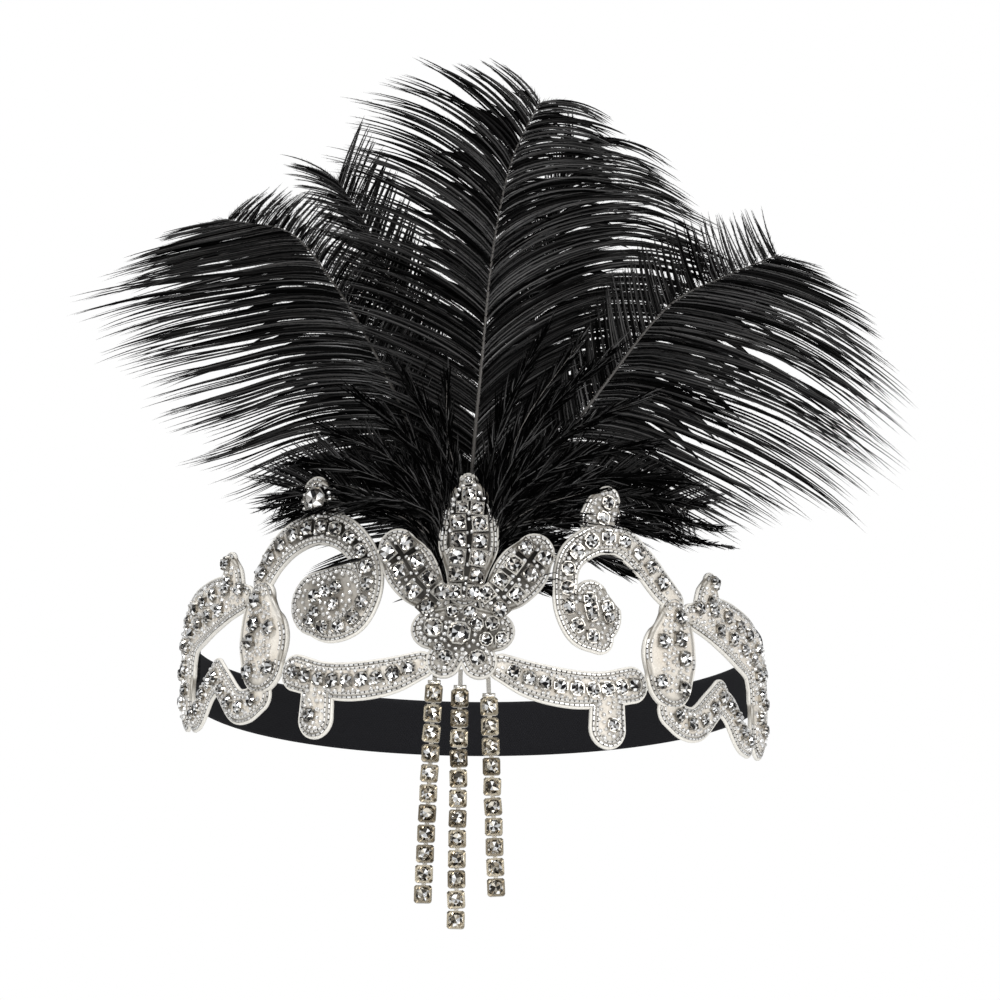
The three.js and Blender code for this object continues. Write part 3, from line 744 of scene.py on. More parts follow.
# Twisted mercerised cotton, white, with painted shade between its turns as a faint grey noise
white_cord, tree = new_material("white cotton cord")
place = add_node(tree, "ShaderNodeTexCoord")
twist = add_node(tree, "ShaderNodeTexNoise", {
    "Vector": place.outputs["Object"], "Scale": 1 / (0.5 * MM), "Detail": 2.0,
})
tone = add_node(tree, "ShaderNodeMix", {
    0: twist.outputs["Fac"], 6: linear("#dcd6cd"), 7: linear("#ffffff"),
}, data_type="RGBA")
shade(tree, {"Base Color": tone.outputs[2], "Roughness": 0.7})

rng = np.random.default_rng(11)
for name, key, side in laid:
    lift = motifs[key]["lift"]
    beads = contour(name, bugle_inset, bugle_pitch)
    face = lace_bottom + lift + groove_floor + bugle_radius * 0.8
    places = frames_on_lace(beads[:, 0], beads[:, 1], beads[:, 2:], np.full(len(beads), face))
    put(f"bugles_{name}", repeated(f"bugles_{name}", bugle, places, rng),
        [silver_lined, gap_shade_thread])
    bits = contour(name, stitch_inset, stitch_pitch)
    if len(bits):
        face = lace_bottom + lift + 1.12
        places = frames_on_lace(bits[:, 0], bits[:, 1], bits[:, 2:], np.full(len(bits), face))
        put(f"cord_{name}", repeated(f"cord_{name}", stitch, places, rng),
            [white_cord, gap_shade_thread])

# Rhinestones: cut glass with foiled backs in plated brass cups with four claws, sewn on the net,
# and small silver-lined seed beads that fill the spaces between them.

def cut_glass(name, darkest, brighter, roughness, coat):
    """Cut glass over mirror foil, with painted reflections: a facet is black or flashes by its
    random glint, in four plain steps.
    """
    material, tree = new_material(name)
    glint = add_node(tree, "ShaderNodeAttribute", attribute_name="glint")
    ramp = add_node(tree, "ShaderNodeValToRGB", {"Fac": glint.outputs["Fac"]})
    ramp.color_ramp.interpolation = "CONSTANT"
    steps = ramp.color_ramp.elements
    steps.remove(steps[1])
    steps[0].color = linear(darkest)
    for position, colour_hex in brighter:
        steps.new(position).color = linear(colour_hex)
    shade(tree, {
        "Base Color": ramp.outputs["Color"], "Metallic": 0.85, "Roughness": roughness,
        "Coat Weight": coat, "Coat Roughness": 0.02,
    })
    return material


foiled = cut_glass(
    "foiled cut glass", "#0a0908",
    ((0.32, "#6f6a64"), (0.5, "#cbc7c1"), (0.66, "#ffffff")), 0.07, 0.5,
)
# Painted glints: each face of a cup takes a random tone from grey to pale
plated = glinting(
    "nickel-plated brass cup", "#6a655e", "#dad6ce", {"Metallic": 1.0, "Roughness": 0.25},
)


def add_cut_stone(bm, radius, base, height, sides, kind):
    """Crown with a table and the star of back facets that is seen through it."""
    lifted = Matrix.Translation((0, 0, base + height / 2))
    made = bmesh.ops.create_cone(
        bm, cap_ends=True, segments=sides, radius1=radius, radius2=radius * 0.58, depth=height,
        matrix=lifted @ Matrix.Rotation(math.pi / sides, 4, "Z"),
    )
    faces = faces_of(made)
    top = max(faces, key=lambda f: f.calc_center_median().z)
    walls = [f for f in faces if abs(f.normal.z) < 0.95 and len(f.verts) == 4]
    star = bmesh.ops.poke(bm, faces=[top], offset=-height * 0.35)
    crown = bmesh.ops.poke(bm, faces=walls, offset=height * 0.1)
    for face in faces:
        if face.is_valid:
            face.material_index = kind
    for face in [*star["faces"], *crown["faces"]]:
        face.material_index = kind


def add_block(bm, size, at, angle, lean, kind):
    made = bmesh.ops.create_cube(bm, size=1, matrix=(
        Matrix.Rotation(angle, 4, "Z") @ Matrix.Translation(at)
        @ Matrix.Rotation(lean, 4, "Y") @ Matrix.Diagonal((*size, 1))
    ))
    for face in faces_of(made):
        face.material_index = kind


def stone_template(sides, cup_sides, cup_reach):
    """Stone of radius 1 in its cup: material 0 is the glass, 1 the cup."""
    bm = bmesh.new()
    lifted = Matrix.Translation((0, 0, 0.25))
    cup = bmesh.ops.create_cone(
        bm, cap_ends=True, segments=cup_sides, radius1=0.8 * cup_reach, radius2=1.06 * cup_reach,
        depth=0.5, matrix=lifted @ Matrix.Rotation(math.pi / cup_sides, 4, "Z"),
    )
    for face in faces_of(cup):
        face.material_index = 1
    add_cut_stone(bm, 0.98, 0.42, 0.5, sides, 0)
    for corner in range(4):
        add_block(
            bm, (0.16, 0.28, 0.62), (0.86 + 0.14 * cup_reach, 0, 0.42),
            math.pi / 4 + corner * math.pi / 2, -0.35, 1,
        )
    bmesh.ops.recalc_face_normals(bm, faces=bm.faces)
    return mesh_of("stone", bm)


round_stone = stone_template(8, 8, 1.0)
square_set = stone_template(8, 4, 1.32)
bm = bmesh.new()
bmesh.ops.create_uvsphere(bm, u_segments=6, v_segments=4, radius=1.0)
seed = mesh_of("seed", bm)
seed.polygons.foreach_set("use_smooth", [True] * len(seed.polygons))

ringed = 2.4  # a stone of a larger radius has a ring of seed beads round it
ring_beads = 14
seed_tries = 2600
seed_spacing = 1.25
for name, key, side in laid:
    motif = motifs[key]
    lines = motif_lines[name]
    strokes = dict(zip(motif["strokes"], lines))
    spots = []
    for stroke, first, last, count, beside, radius in motif["stones"]:
        line = strokes[stroke]
        along = headings(line)
        for share in np.linspace(first, last, count):
            place_on = share * (len(line) - 1)
            low = min(max(int(place_on), 0), len(line) - 2)
            heading = along[low]
            at = line[low, :2] + (line[low + 1, :2] - line[low, :2]) * (place_on - low)
            at = at + np.array([-heading[1], heading[0]]) * beside * side
            spots.append([*at, *heading, radius * rng.uniform(0.94, 1.04)])
    spots = np.array(spots)
    spots = spots[~covered(spots[:, 0], spots[:, 1], name, -0.4)]
    in_columns = key in ("petal", "top_petal")
    template = square_set if in_columns else round_stone
    angle = np.arctan2(spots[:, 3], spots[:, 2])
    angle += rng.uniform(-0.35, 0.35, len(spots)) * (0.35 if in_columns else 1)
    heading = np.stack([np.cos(angle), np.sin(angle)], 1)
    face = lace_bottom + motif["lift"] + plate_cover - 0.1
    places = frames_on_lace(
        spots[:, 0], spots[:, 1], heading, np.full(len(spots), face), spots[:, 4] * MM,
    )
    tip = rng.normal(0, 0.09, (len(places), 2))
    places[:, :3, 2] += places[:, :3, 0] * tip[:, :1] + places[:, :3, 1] * tip[:, 1:]
    put(
        f"rhinestones_{name}", repeated(f"rhinestones_{name}", template, places, rng),
        [foiled, plated], [f"stones_{name}"],
    )
    # Seed beads: a ring round each large stone, then at random places of the padded middle, kept
    # where nothing is yet
    everything = np.vstack(lines)
    low, high = everything[:, :2].min(0) - 4, everything[:, :2].max(0) + 4
    tries = rng.uniform(low, high, (seed_tries, 2))
    tries = tries[depth_in(tries[:, 0], tries[:, 1], lines) > 2.0]
    tries = tries[~covered(tries[:, 0], tries[:, 1], name, -0.5)]
    kept = []
    for spot in spots[spots[:, 4] > ringed]:
        for angle in np.linspace(0, 2 * math.pi, ring_beads, endpoint=False):
            towards = np.array([math.cos(angle), math.sin(angle)])
            kept.append(spot[:2] + (spot[4] + 0.85) * towards)
    for at in tries:
        if np.all(np.hypot(*(spots[:, :2] - at).T) > spots[:, 4] + 0.55):
            if not kept or np.min(np.hypot(*(np.array(kept) - at).T)) > seed_spacing:
                kept.append(at)
    if kept:
        kept = np.array(kept)
        angle = rng.uniform(0, math.pi, len(kept))
        heading = np.stack([np.cos(angle), np.sin(angle)], 1)
        places = frames_on_lace(
            kept[:, 0], kept[:, 1], heading, np.full(len(kept), face + 0.35),
            rng.uniform(0.5, 0.68, len(kept)) * MM,
        )
        put(f"seed_beads_{name}", repeated(f"seed_beads_{name}", seed, places, rng),
            [silver_lined])

# Cup chains: three lengths of 4.4 mm rhinestone chain hang from the flower's foot. Each stone sits
# in a square plated cup with four claws, and flat links join the cups behind.
chain_pitch = 5.06
chain_cup = 4.4
chain_cup_depth = 1.5
link_above = 5.44  # how far the link runs up behind the flower's foot
chain_rows = [
    ("chain_left", -0.2, -0.58, 11, -2.7), ("chain_centre", -0.008, -0.62, 12, -0.8),
    ("chain_right", 0.205, -0.68, 10, 2.3),
]

# Plating that has darkened to a warm grey, with a painted glint on each face, and glass that
# takes its colour, its flashes painted too
antique = glinting(
    "darkened plated cup chain", "#6b6151", "#cfc4ae", {"Metallic": 1.0, "Roughness": 0.22},
)
smoky = cut_glass(
    "foiled cut glass of the chains", "#2b2418",
    ((0.3, "#8d8270"), (0.5, "#d0c9bb"), (0.7, "#ffffff")), 0.06, 1.0,
)

bm = bmesh.new()
cup_width = chain_cup * MM
cup_depth = chain_cup_depth * MM
cup_size = Matrix.Diagonal((cup_width, cup_width, cup_depth, 1))
bmesh.ops.create_cube(bm, size=1, matrix=Matrix.Translation((0, 0, cup_depth / 2)) @ cup_size)
upright = [e for e in bm.edges if abs(e.verts[0].co.z - e.verts[1].co.z) > cup_depth / 2]
bmesh.ops.bevel(
    bm, geom=upright, offset=0.7 * MM, segments=2, profile=0.5, affect="EDGES", material=-1,
)
for face in bm.faces:
    face.material_index = 1
add_cut_stone(bm, 2.0 * MM, cup_depth - 0.15 * MM, 1.15 * MM, 8, 0)
for corner in range(4):
    add_block(
        bm, (0.5 * MM, 0.75 * MM, 0.95 * MM), (2.35 * MM, 0, cup_depth + 0.2 * MM),
        math.pi / 4 + corner * math.pi / 2, -0.6, 1,
    )
bmesh.ops.recalc_face_normals(bm, faces=bm.faces)
cup_mesh = mesh_of("cup", bm)

for name, across, drop, stones, lean_degrees in chain_rows:
    lean = math.radians(lean_degrees)
    down = np.array([math.sin(lean), 0, -math.cos(lean)])
    along = np.array([math.cos(lean), 0, math.sin(lean)])
    top = np.array([across * lace_rise, 0, drop * lace_rise])
    rear = seat_point(np.array(top[0]), 0, 0)[1] / MM + 0.3
    places = []
    for k in range(stones):
        wobble = math.radians(rng.normal(0, 2.0))
        centre = top + down * (chain_cup / 2 + k * chain_pitch)
        centre[1] = rear
        place = np.eye(4)
        place[:3, 0] = along * math.cos(wobble) + down * math.sin(wobble)
        place[:3, 1] = -down * math.cos(wobble) + along * math.sin(wobble)
        place[:3, 2] = np.cross(place[:3, 0], place[:3, 1])
        place[:3, 3] = centre * MM
        places.append(place)
    mesh = repeated(name, cup_mesh, np.array(places), rng)
    bm = bmesh.new()
    bm.from_mesh(mesh)
    length = link_above + (stones - 1) * chain_pitch + chain_cup / 2
    middle_at = top + down * (length / 2 - link_above)
    made = bmesh.ops.create_cube(bm, size=1, matrix=(
        Matrix.Translation(Vector((middle_at[0], rear + 0.4, middle_at[2])) * MM)
        @ Matrix.Rotation(-lean, 4, "Y") @ Matrix.Diagonal((1.1 * MM, 0.8 * MM, length * MM, 1))
    ))
    # The link and the bar get fixed painted glints, the bar the brightest
    shine = bm.faces.layers.float["glint"]
    for face in faces_of(made):
        face.material_index = 2
        face[shine] = 0.6
    # A plated bar at the top, where the chain is sewn to the flower's foot
    bar_at = top + down * -0.6
    made = bmesh.ops.create_cone(
        bm, cap_ends=True, segments=10, radius1=0.7 * MM, radius2=0.7 * MM, depth=3.2 * MM,
        matrix=Matrix.Translation(Vector((bar_at[0], rear - 0.7, bar_at[2])) * MM)
        @ Matrix.Rotation(math.pi / 2, 4, "Y"),
    )
    for face in faces_of(made):
        face.material_index = 2
        face.smooth = len(face.verts) == 4
        face[shine] = 1.0
    bm.to_mesh(mesh)
    bm.free()
    put(f"cup_{name}", mesh, [smoky, antique, plated], [name])

# Felt patch behind the flower, which the quills are sewn and glued to. 1.2 mm black wool felt.
felt, tree = new_material("black wool felt")
place = add_node(tree, "ShaderNodeTexCoord")
fibres = add_node(tree, "ShaderNodeTexNoise", {
    "Vector": place.outputs["Object"], "Scale": 1 / (0.6 * MM), "Detail": 6.0,
})
tone = add_node(tree, "ShaderNodeMix", {
    0: fibres.outputs["Fac"], 6: linear("#0e0e10"), 7: linear("#26262a"),
}, data_type="RGBA")
bump = add_node(tree, "ShaderNodeBump", {
    "Strength": 0.7, "Distance": 0.3 * MM, "Height": fibres.outputs["Fac"],
})
shade(tree, {
    "Base Color": tone.outputs[2], "Normal": bump.outputs["Normal"], "Roughness": 0.95,
    "Sheen Weight": 0.4,
})
felt_front = -3.0
felt_back = -4.2
patch = stroke_line([[-0.045, -0.13, 0.17], [0.045, -0.13, 0.17]], 1, line_step)
x, y = stroke_grid(patch)
soft_edge = 0.4 * (0.5 - np.clip(depth_in(x, y, [patch]), 0, 0.5))
bm = bmesh.new()
thick_sheet(bm, *x.shape, on_lace(x, y, felt_front - soft_edge),
            on_lace(x, y, felt_back + soft_edge))
backing = finished("felt_backing", bm, [felt], ["felt_patch"])

# Ostrich plumes, dyed black: a bare quill sewn to the patch, with long soft barbs on both sides,
# each fringed with fine barbules, and small hackle feathers round the feet of the quills.
plume_rise = 143
quill_depth = 1.5
layer_pitch = 3
quill_pitch = 2.7


def ease(value, low, high):
    t = np.clip((value - low) / (high - low), 0, 1)
    return t * t * (3 - 2 * t)


def plume_point(x, z, layer, out):
    """Place on a plume's layer: wrapped round the forehead, flatter and bent forward higher up."""
    limit = 0.66 * head_half_width
    near = np.minimum(np.abs(x), limit)
    root = np.sqrt(1 - (near / head_half_width) ** 2)
    slope = head_half_depth * near / (head_half_width**2 * root)
    wrap = head_half_depth * (1 - root) + 12 * np.tanh((np.abs(x) - near) * slope / 12)
    spread = ease(z, 0.33 * lace_rise, 0.8 * lace_rise)
    flatten = 1 - 0.4 * ease(z, 1.3 * lace_rise, 2.6 * lace_rise)
    curl = 22 * ease(z, 0.45 * plume_rise, 1.15 * plume_rise)
    y = wrap * flatten + quill_depth + layer * layer_pitch * spread - head_half_depth - curl - out
    return np.stack([x, y, z], -1) * MM


# A plume's place on the patch counts from its middle, and its layer from the front. Its quill is
# given by x and z as shares of the rise. Rows of its sides give the share along the quill, the
# reach as a share of the rise, and the angles above the horizontal where barbs start and end.
plumes = [
    {
        "name": "fluff_left", "place": -3, "layer": 0,
        "quill": [[-0.075, 0.13], [-0.13, 0.2], [-0.24, 0.24], [-0.32, 0.25]],
        "left": [[0.35, 0.05, 10, -10], [0.7, 0.08, -25, -50], [1, 0.08, -50, -75]],
        "right": [[0.35, 0.2, 95, 90], [0.7, 0.16, 120, 135], [1, 0.1, 150, 165]],
    },
    {
        "name": "fluff_right", "place": 3, "layer": 0,
        "quill": [[0.075, 0.13], [0.14, 0.19], [0.28, 0.23], [0.4, 0.22]],
        "left": [[0.35, 0.2, 95, 90], [0.7, 0.14, 125, 140], [1, 0.1, 150, 165]],
        "right": [[0.35, 0.05, 10, -10], [0.7, 0.08, -25, -55], [1, 0.08, -60, -85]],
    },
    {
        "name": "plume_centre", "place": 0, "layer": 1, "down": 0.6,
        "quill": [[0.012, 0.2], [0.03, 0.42], [0.055, 0.66], [0.09, 0.81], [0.14, 0.91]],
        "left": [
            [0.2, 0.18, 40, 30], [0.5, 0.33, 40, 14], [0.65, 0.37, 46, 15], [0.85, 0.32, 56, 14],
            [1, 0.1, 62, 30],
        ],
        "right": [[0.2, 0.18, 50, 40], [0.65, 0.36, 48, 8], [1, 0.15, 20, -30]],
    },
    {
        "name": "plume_left", "place": -2, "layer": 2, "spacing": 0.82,
        "quill": [[-0.06, 0.24], [-0.16, 0.48], [-0.25, 0.63], [-0.32, 0.71], [-0.44, 0.75]],
        "left": [
            [0.14, 0.24, 0, -20], [0.22, 0.32, 10, -14], [0.4, 0.42, 17, -15], [0.7, 0.52, 17, -17],
            [0.87, 0.34, 5, -18], [1, 0.12, -5, -16],
        ],
        "right": [[0.22, 0.14, 85, 70], [0.6, 0.12, 75, 50], [1, 0.08, 50, 20]],
    },
    {
        "name": "plume_right", "place": 2, "layer": 3,
        "quill": [[0.09, 0.18], [0.24, 0.42], [0.38, 0.6], [0.47, 0.65], [0.57, 0.69]],
        "left": [[0.15, 0.2, 80, 95], [0.6, 0.16, 75, 85], [1, 0.1, 60, 70]],
        "right": [
            [0.22, 0.3, 14, -18], [0.38, 0.42, 12, -32], [0.5, 0.54, 12, -40],
            [0.64, 0.57, 10, -40], [0.8, 0.47, 2, -38], [0.92, 0.26, -6, -30], [1, 0.08, -8, -20],
        ],
    },
    {
        "name": "plume_back_left", "place": -1, "layer": 4,
        "quill": [[-0.04, 0.28], [-0.1, 0.52], [-0.17, 0.7], [-0.23, 0.8]],
        "left": [[0.2, 0.22, 40, 15], [1, 0.13, 46, 15]],
        "right": [[0.2, 0.16, 75, 85], [1, 0.12, 70, 60]],
    },
    {
        "name": "plume_back_right", "place": 1, "layer": 5,
        "quill": [[0.056, 0.28], [0.125, 0.56], [0.17, 0.74], [0.2, 0.86]],
        "left": [[0.45, 0.18, 70, 80], [1, 0.08, 80, 90]],
        "right": [[0.4, 0.38, 40, 5], [0.75, 0.42, 38, -22], [1, 0.18, 35, -30]],
    },
]
# Hackles: root x and z, tip x and z, bow to the side, half width and how far the tip comes
# forward, in millimetres
hackles = {
    "fluff_left": [
        (-2, 24, -16, 62, 3, 6, 1), (1, 26, -4, 60, -2, 6, 1), (-4, 24, -27, 56, 4, 6, 2),
        (-5, 22, -35, 48, 4, 6, 2), (-6, 21, -43, 41, 4, 6, 2), (-6, 20, -51, 33, 4, 5, 2),
        (-7, 20, -53, 31, 4, 4, 1), (-7, 20, -49, 27, 4, 4, 1), (-7, 22, -44, 26, 4, 4, 3),
        (-6, 22, -31, 26, 4, 4, 3), (-3, 14, -23, 37, 3, 6, 1), (-2, 14, -14, 44, 2, 6, 1),
        (-7, 16, -37, 29, 4, 4, 1), (-6, 14, -24, 25, 3, 4, 0), (-5, 10, -13, 22, 1, 4, 0),
        (-2, 10, -5, 32, 0, 6, 0), (-8, 19, -46, 29, 4, 4, 1), (-4, 16, -30, 38, 4, 6, 1),
    ],
    "fluff_right": [
        (6, 25, 20, 71, -3, 6, 1), (7, 24, 30, 70, -3, 6, 1), (7, 23, 38, 68, -4, 6, 2),
        (8, 22, 45, 57, -5, 6, 2), (8, 21, 48, 46, -5, 6, 2), (8, 20, 55, 38, -5, 6, 1),
        (8, 19, 62, 33, -5, 5, 1), (8, 18, 66, 27, -5, 5, 1), (8, 18, 68, 22, -5, 3, 1),
        (6, 14, 43, 12, -4, 7, 0), (5, 14, 31, 31, -3, 6, 1), (4, 14, 22, 44, -2, 6, 1),
        (5, 8, 14, 22, -1, 6, 0), (7, 4, 27, 3, -3, 6, 0), (6, 12, 35, 17, -2, 7, 0),
        (2, 10, 6, 34, 0, 6, 0), (8, 15, 56, 22, -5, 5, 1), (4, 16, 34, 42, -4, 6, 1),
    ],
}
barb_steps = 13
barbule_width = 0.22

# Ranks of barbs of a plume: how far in front of the quill, spacing along the quill, share of the
# row's reach, width of a barb, spacing of its barbules. The last rank is the down that backs
# them. Tips draw together in locks.
barb_ranks = [
    (0.9, 1.1, 1.0, 0.62, 0.42), (0.1, 1.3, 0.92, 0.62, 0.6), (-0.8, 1.2, 0.98, 0.62, 0.6),
    (-1.5, 2.0, 0.42, 2.4, 0.8),
]
lock_pitch = 1.75

# Dyed barbs: near black with a satin sheen, a little paler as a painted glint on some, and here
# and there a painted highlight, a grey line along a barb's ridge
ostrich, tree = new_material("black dyed ostrich barb")
tone_of = add_node(tree, "ShaderNodeAttribute", attribute_name="glint")
ridge = add_node(tree, "ShaderNodeAttribute", attribute_name="ridge")
tone = add_node(tree, "ShaderNodeMix", {
    0: tone_of.outputs["Fac"], 6: linear("#020202"), 7: linear("#0d0d0e"),
}, data_type="RGBA")
shaft = add_node(tree, "ShaderNodeMapRange", {
    "Value": ridge.outputs["Fac"], "From Min": 0.72, "From Max": 0.95,
})
lit = add_node(tree, "ShaderNodeMath", {0: shaft.outputs[0], 1: tone_of.outputs["Fac"]},
               operation="MULTIPLY")
# Painted highlight: a grey line along the ridge of the barbs with a high glint
ridge_highlight = add_node(tree, "ShaderNodeMix", {
    0: lit.outputs[0], 6: tone.outputs[2], 7: linear("#565351"),
}, data_type="RGBA")
gloss = add_node(tree, "ShaderNodeMath", {0: tone_of.outputs["Fac"], 1: 0.42},
                 operation="MULTIPLY")
shade(tree, {
    "Base Color": ridge_highlight.outputs[2], "Specular IOR Level": gloss.outputs[0], "Roughness": 0.32,
})

# Barbules are too fine and loose to glint. A quill is smooth, and some are paler as a painted
# highlight along the shaft.
fluffy = glinting(
    "black dyed ostrich barbules", "#010101", "#080809",
    {"Roughness": 0.7, "Specular IOR Level": 0.03},
)
highlit_quill = glinting(
    "black quill", "#0b0a0a", "#6b6763", {"Roughness": 0.3, "Specular IOR Level": 0.4},
)


def strand_sides(paths):
    """Directions along, across and out of the face of strands, n by steps by 3."""
    along = np.gradient(paths, axis=1)
    along /= np.linalg.norm(along, axis=2, keepdims=True) + 1e-12
    across = np.cross(along, (0.0, -1.0, 0.0))
    across /= np.linalg.norm(across, axis=2, keepdims=True) + 1e-12
    return along, across, np.cross(across, along)


def ribbon_mesh(paths, width, rarity, rng):
    """Barbs: flat ribbons with a ridge, pointed at their tips, thinner where they are short. Gives
    points, triangles, a glint for each triangle and the ridge's weight at each point."""
    count, steps, _ = paths.shape
    length = np.linalg.norm(np.diff(paths, axis=1), axis=2).sum(1)[:, None, None]
    width = width * np.clip(length / (26 * MM), 0.4, 1)
    _, across, face = strand_sides(paths)
    roll = rng.normal(0, 0.35, (count, 1, 1))
    cos, sin = np.cos(roll), np.sin(roll)
    across, face = across * cos + face * sin, face * cos - across * sin
    t = np.linspace(0, 1, steps)[None, :, None]
    half = np.minimum(1, 0.55 + 2.5 * t) * (1 - t**3.4) ** 0.9 * width * MM / 2
    middle = paths + face * half * 0.45
    points = np.stack([paths + across * half, middle, paths - across * half], 2)
    ridge = np.tile([0.0, 1.0, 0.0], count * steps)
    base = 3 * (np.arange(count)[:, None] * steps + np.arange(steps - 1)).reshape(-1, 1)
    faces = np.vstack([base + corner for corner in ([0, 1, 4], [0, 4, 3], [1, 2, 5], [1, 5, 4])])
    glint = np.tile(np.repeat(rng.random(count) ** rarity, steps - 1), 4)
    return points.reshape(-1, 3), faces.tolist(), glint, ridge


def barbule_mesh(paths, pitch, reach, rng):
    """Barbules: thin triangles along both sides of the barbs, closer to them towards the tips.
    Gives what ribbon_mesh does."""
    count, steps, _ = paths.shape
    along, across, face = strand_sides(paths)
    length = np.linalg.norm(np.diff(paths, axis=1), axis=2).sum(1) / MM
    owner = np.repeat(np.arange(count), np.maximum((length / pitch).astype(int), 2))
    share = rng.random(len(owner)) ** 1.15 * 0.95 + 0.01
    sign = np.where(rng.random(len(owner)) < 0.5, -1.0, 1.0)[:, None]
    low = np.minimum((share * (steps - 1)).astype(int), steps - 2)
    mix = (share * (steps - 1) - low)[:, None]
    at = paths[owner, low] * (1 - mix) + paths[owner, low + 1] * mix
    angle = np.radians(34 - 22 * share + rng.normal(0, 6, len(owner)))[:, None]
    tilt = rng.normal(0, 0.45, (len(owner), 1))
    sideways = across[owner, low] * np.cos(tilt) + face[owner, low] * np.sin(tilt)
    size = reach * (1 - 0.7 * share**1.5) * rng.uniform(0.6, 1.15, len(owner))
    lean = along[owner, low] * np.cos(angle) + sideways * np.sin(angle) * sign
    tip = at + lean * size[:, None] * MM
    foot = at + along[owner, low] * barbule_width * MM
    points = np.stack([at, foot, tip], 1).reshape(-1, 3)
    faces = np.arange(len(points)).reshape(-1, 3).tolist()
    return points, faces, rng.random(len(owner)), np.zeros(len(points))


def quill_tube(line, layer, out, radius):
    """Round quill that tapers along its line, as a mesh."""
    curve = bpy.data.curves.new("quill", "CURVE")
    curve.dimensions = "3D"
    curve.bevel_depth = radius * MM
    curve.bevel_resolution = 1
    curve.use_fill_caps = True
    spline = curve.splines.new("POLY")
    places = plume_point(line[:, 0], line[:, 1], layer, out)
    spline.points.add(len(places) - 1)
    for k, (point, place_at) in enumerate(zip(spline.points, places)):
        point.co = (*place_at, 1)
        point.radius = 1 - 0.8 * k / (len(places) - 1)
    holder = bpy.data.objects.new("quill", curve)
    mesh = bpy.data.meshes.new_from_object(holder)
    bpy.data.objects.remove(holder)
    bpy.data.curves.remove(curve)
    return mesh


def barb_paths(line, layer, share, reach, start, end, out, steps):
    """Places along barbs. Each leaves the quill's line at a share of it, and turns from its start
    to its end angle."""
    t = np.linspace(0, 1, steps - 1)
    angle = np.radians(start[:, None] + (end - start)[:, None] * t**0.7)
    step = reach[:, None] / (steps - 1)
    spot = share * (len(line) - 1)
    root_x, root_z = (np.interp(spot, np.arange(len(line)), line[:, k])[:, None] for k in (0, 1))
    x = np.hstack([root_x, root_x + np.cumsum(np.cos(angle) * step, 1)])
    z = np.hstack([root_z, root_z + np.cumsum(np.sin(angle) * step, 1)])
    return plume_point(x, z, layer, out)


def plume_barbs(plume, line, rank, locks, rng):
    """Barbs of one rank on both sides of a plume's quill, with tips that draw together in locks.
    Locks hold a swing in degrees, a share of the reach and a way forward for each."""
    front, pitch, part_of_reach, _, _ = rank
    pitch *= plume.get("down", 1) if front < -1 else plume.get("spacing", 1)
    length = np.hypot(*np.diff(line, axis=0).T).sum()
    heading = np.unwrap(np.arctan2(*np.gradient(line, axis=0).T[::-1]))
    paths = []
    for sign, rows, lock in ((-1, plume["left"], locks[0]), (1, plume["right"], locks[1])):
        rows = np.array(rows, float)
        count = round(length * (1 - rows[0, 0]) / pitch)
        first = rows[0, 0] * (0.45 if front < -1 else 1)
        share = first + (1 - first) * (np.arange(count) + rng.random(count)) / count
        reach, start, end = (np.interp(share, rows[:, 0], rows[:, k]) for k in (1, 2, 3))
        held = (share * length / lock_pitch + 0.25 * rng.random(count)).astype(int)
        aside = (share - (held + 0.38) * lock_pitch / length) * length
        reach = reach * plume_rise * part_of_reach * rng.uniform(0.86, 1.0, count) * lock[held, 1]
        end = end + lock[held, 0] + rng.normal(0, 0.8, count)
        start = start + rng.normal(0, 1.0, count)
        if sign < 0:
            start, end = 180 - start, 180 - end
        leave = np.interp(share * (len(line) - 1), np.arange(len(line)), heading)
        leave = leave - np.radians((start + end) / 2)
        end = end - np.degrees(1.9 * aside * np.sin(leave) / reach)
        t = np.linspace(0, 1, barb_steps)
        out = front + (lock[held, 2:] + rng.normal(0, 0.5, (count, 1))) * t**1.4
        paths.append(barb_paths(line, plume["layer"], share, reach, start, end, out, barb_steps))
    return np.concatenate(paths)


def hackle_barbs(line, half, first, out, rng):
    """Barbs of a small lance-shaped feather, at a sharp angle to its quill."""
    length = np.hypot(*np.diff(line, axis=0).T).sum()
    heading = np.degrees(np.unwrap(np.arctan2(*np.gradient(line, axis=0).T[::-1])))
    paths = []
    for sign in (-1, 1):
        count = round(length * (1 - first) / 0.6)
        share = first + (1 - first) * (np.arange(count) + rng.random(count)) / count
        run = (share - first) / (1 - first)
        lean = np.maximum(34 - 20 * run + rng.normal(0, 7, count), 6)
        reach = half / np.sin(np.radians(lean)) * np.minimum(1, 0.5 + 2 * run) * (1 - run) ** 0.5
        reach = np.clip(reach * rng.uniform(0.5, 1.25, count), 1, 1.9 * half)
        base = np.interp(share * (len(line) - 1), np.arange(len(line)), heading)
        along_out = np.interp(share, np.linspace(0, 1, len(out)), out)[:, None]
        bend = rng.normal(0, 1.3, (count, 1)) * np.linspace(0, 1, 6)
        paths.append(barb_paths(
            line, 0, share, reach, base + sign * lean,
            base + sign * lean * rng.uniform(-0.2, 0.9, count), along_out + bend, 6,
        ))
    return np.concatenate(paths)


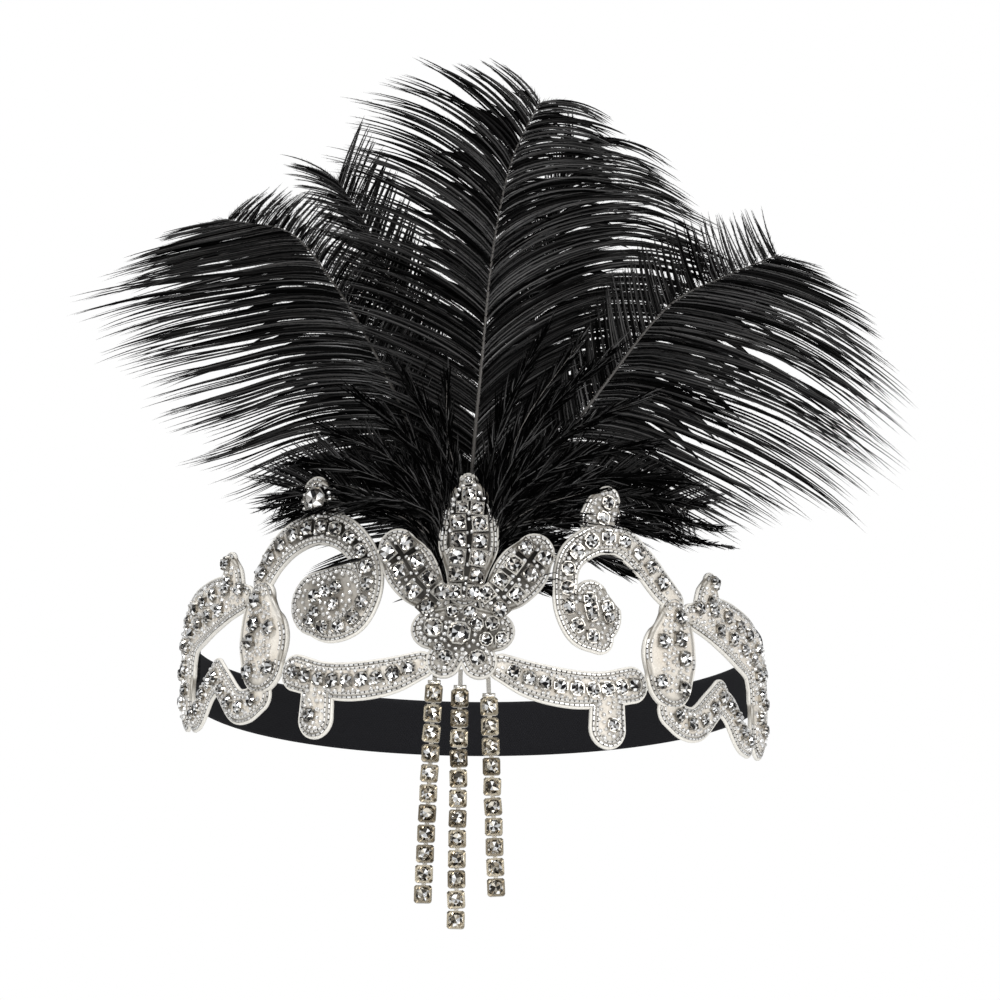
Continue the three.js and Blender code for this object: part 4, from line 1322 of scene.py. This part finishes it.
rng = np.random.default_rng(23)
for plume in plumes:
    foot = plume["place"] * quill_pitch
    rows = [[foot, -0.03 * plume_rise], [foot, 0.07 * plume_rise]]
    rows += [[a * plume_rise, b * plume_rise] for a, b in plume["quill"]]
    line = smooth_line(rows, 1.0)
    strands = []  # paths of barbs, barb width, barbule spacing and reach, rarity of glints
    tubes = [(quill_tube(line, plume["layer"], 0.6, 0.8), 0.45)]  # quills with their glints
    locks = rng.normal((0, 1, 0), (1.8, 0.05, 1.6), (2, 120, 3))
    for rank in barb_ranks:
        strands.append((plume_barbs(plume, line, rank, locks, rng), rank[3], rank[4], 2.0, 1.5))
    for root_x, root_z, tip_x, tip_z, bow, half, forward in hackles.get(plume["name"], []):
        middle = np.array([(root_x + tip_x) / 2, (root_z + tip_z) / 2])
        across = np.array([-(tip_z - root_z), tip_x - root_x])
        middle = middle + across / np.linalg.norm(across) * -bow
        start_x = math.copysign(min(abs(root_x), 8.5), root_x)
        line = smooth_line([[start_x, -1], [root_x, root_z], middle, [tip_x, tip_z]], 1.5)
        run = np.linspace(0, 1, len(line))
        out = 1.0 + rng.uniform(-0.5, 0.4) + forward * ease(line[:, 1], 16, 24) + 1.5 * run**2
        tubes.append((quill_tube(line, 0, out, 0.28), rng.random() ** 3))
        strands.append((hackle_barbs(line, half, 0.12, out, rng), 0.9, 0.8, 1.6, 6))
    batches = []  # points, faces, glint of each face, ridge at each point, and material
    for paths, width, pitch, reach, rarity in strands:
        batches.append((*ribbon_mesh(paths, width, rarity, rng), 0))
        batches.append((*barbule_mesh(paths, pitch, reach, rng), 1))
    for tube, tube_glint in tubes:
        batches.append((
            np.array([v.co[:] for v in tube.vertices]), [list(p.vertices) for p in tube.polygons],
            np.full(len(tube.polygons), tube_glint), np.zeros(len(tube.vertices)), 2,
        ))
        bpy.data.meshes.remove(tube)
    faces, kinds, total = [], [], 0
    for points, corners, _, _, kind in batches:
        faces += [[i + total for i in face] for face in corners]
        kinds += [kind] * len(corners)
        total += len(points)
    mesh = bpy.data.meshes.new(plume["name"])
    mesh.from_pydata(np.vstack([batch[0] for batch in batches]).tolist(), [], faces)
    mesh.polygons.foreach_set("material_index", kinds)
    mesh.polygons.foreach_set("use_smooth", [kind != 1 for kind in kinds])
    for attribute, domain, k in (("glint", "FACE", 2), ("ridge", "POINT", 3)):
        made = mesh.attributes.new(attribute, "FLOAT", domain)
        values = np.concatenate([batch[k] for batch in batches])
        made.data.foreach_set("value", values.astype(np.float32))
    put(f"ostrich_{plume['name']}", mesh, [ostrich, fluffy, highlit_quill], [plume["name"]])
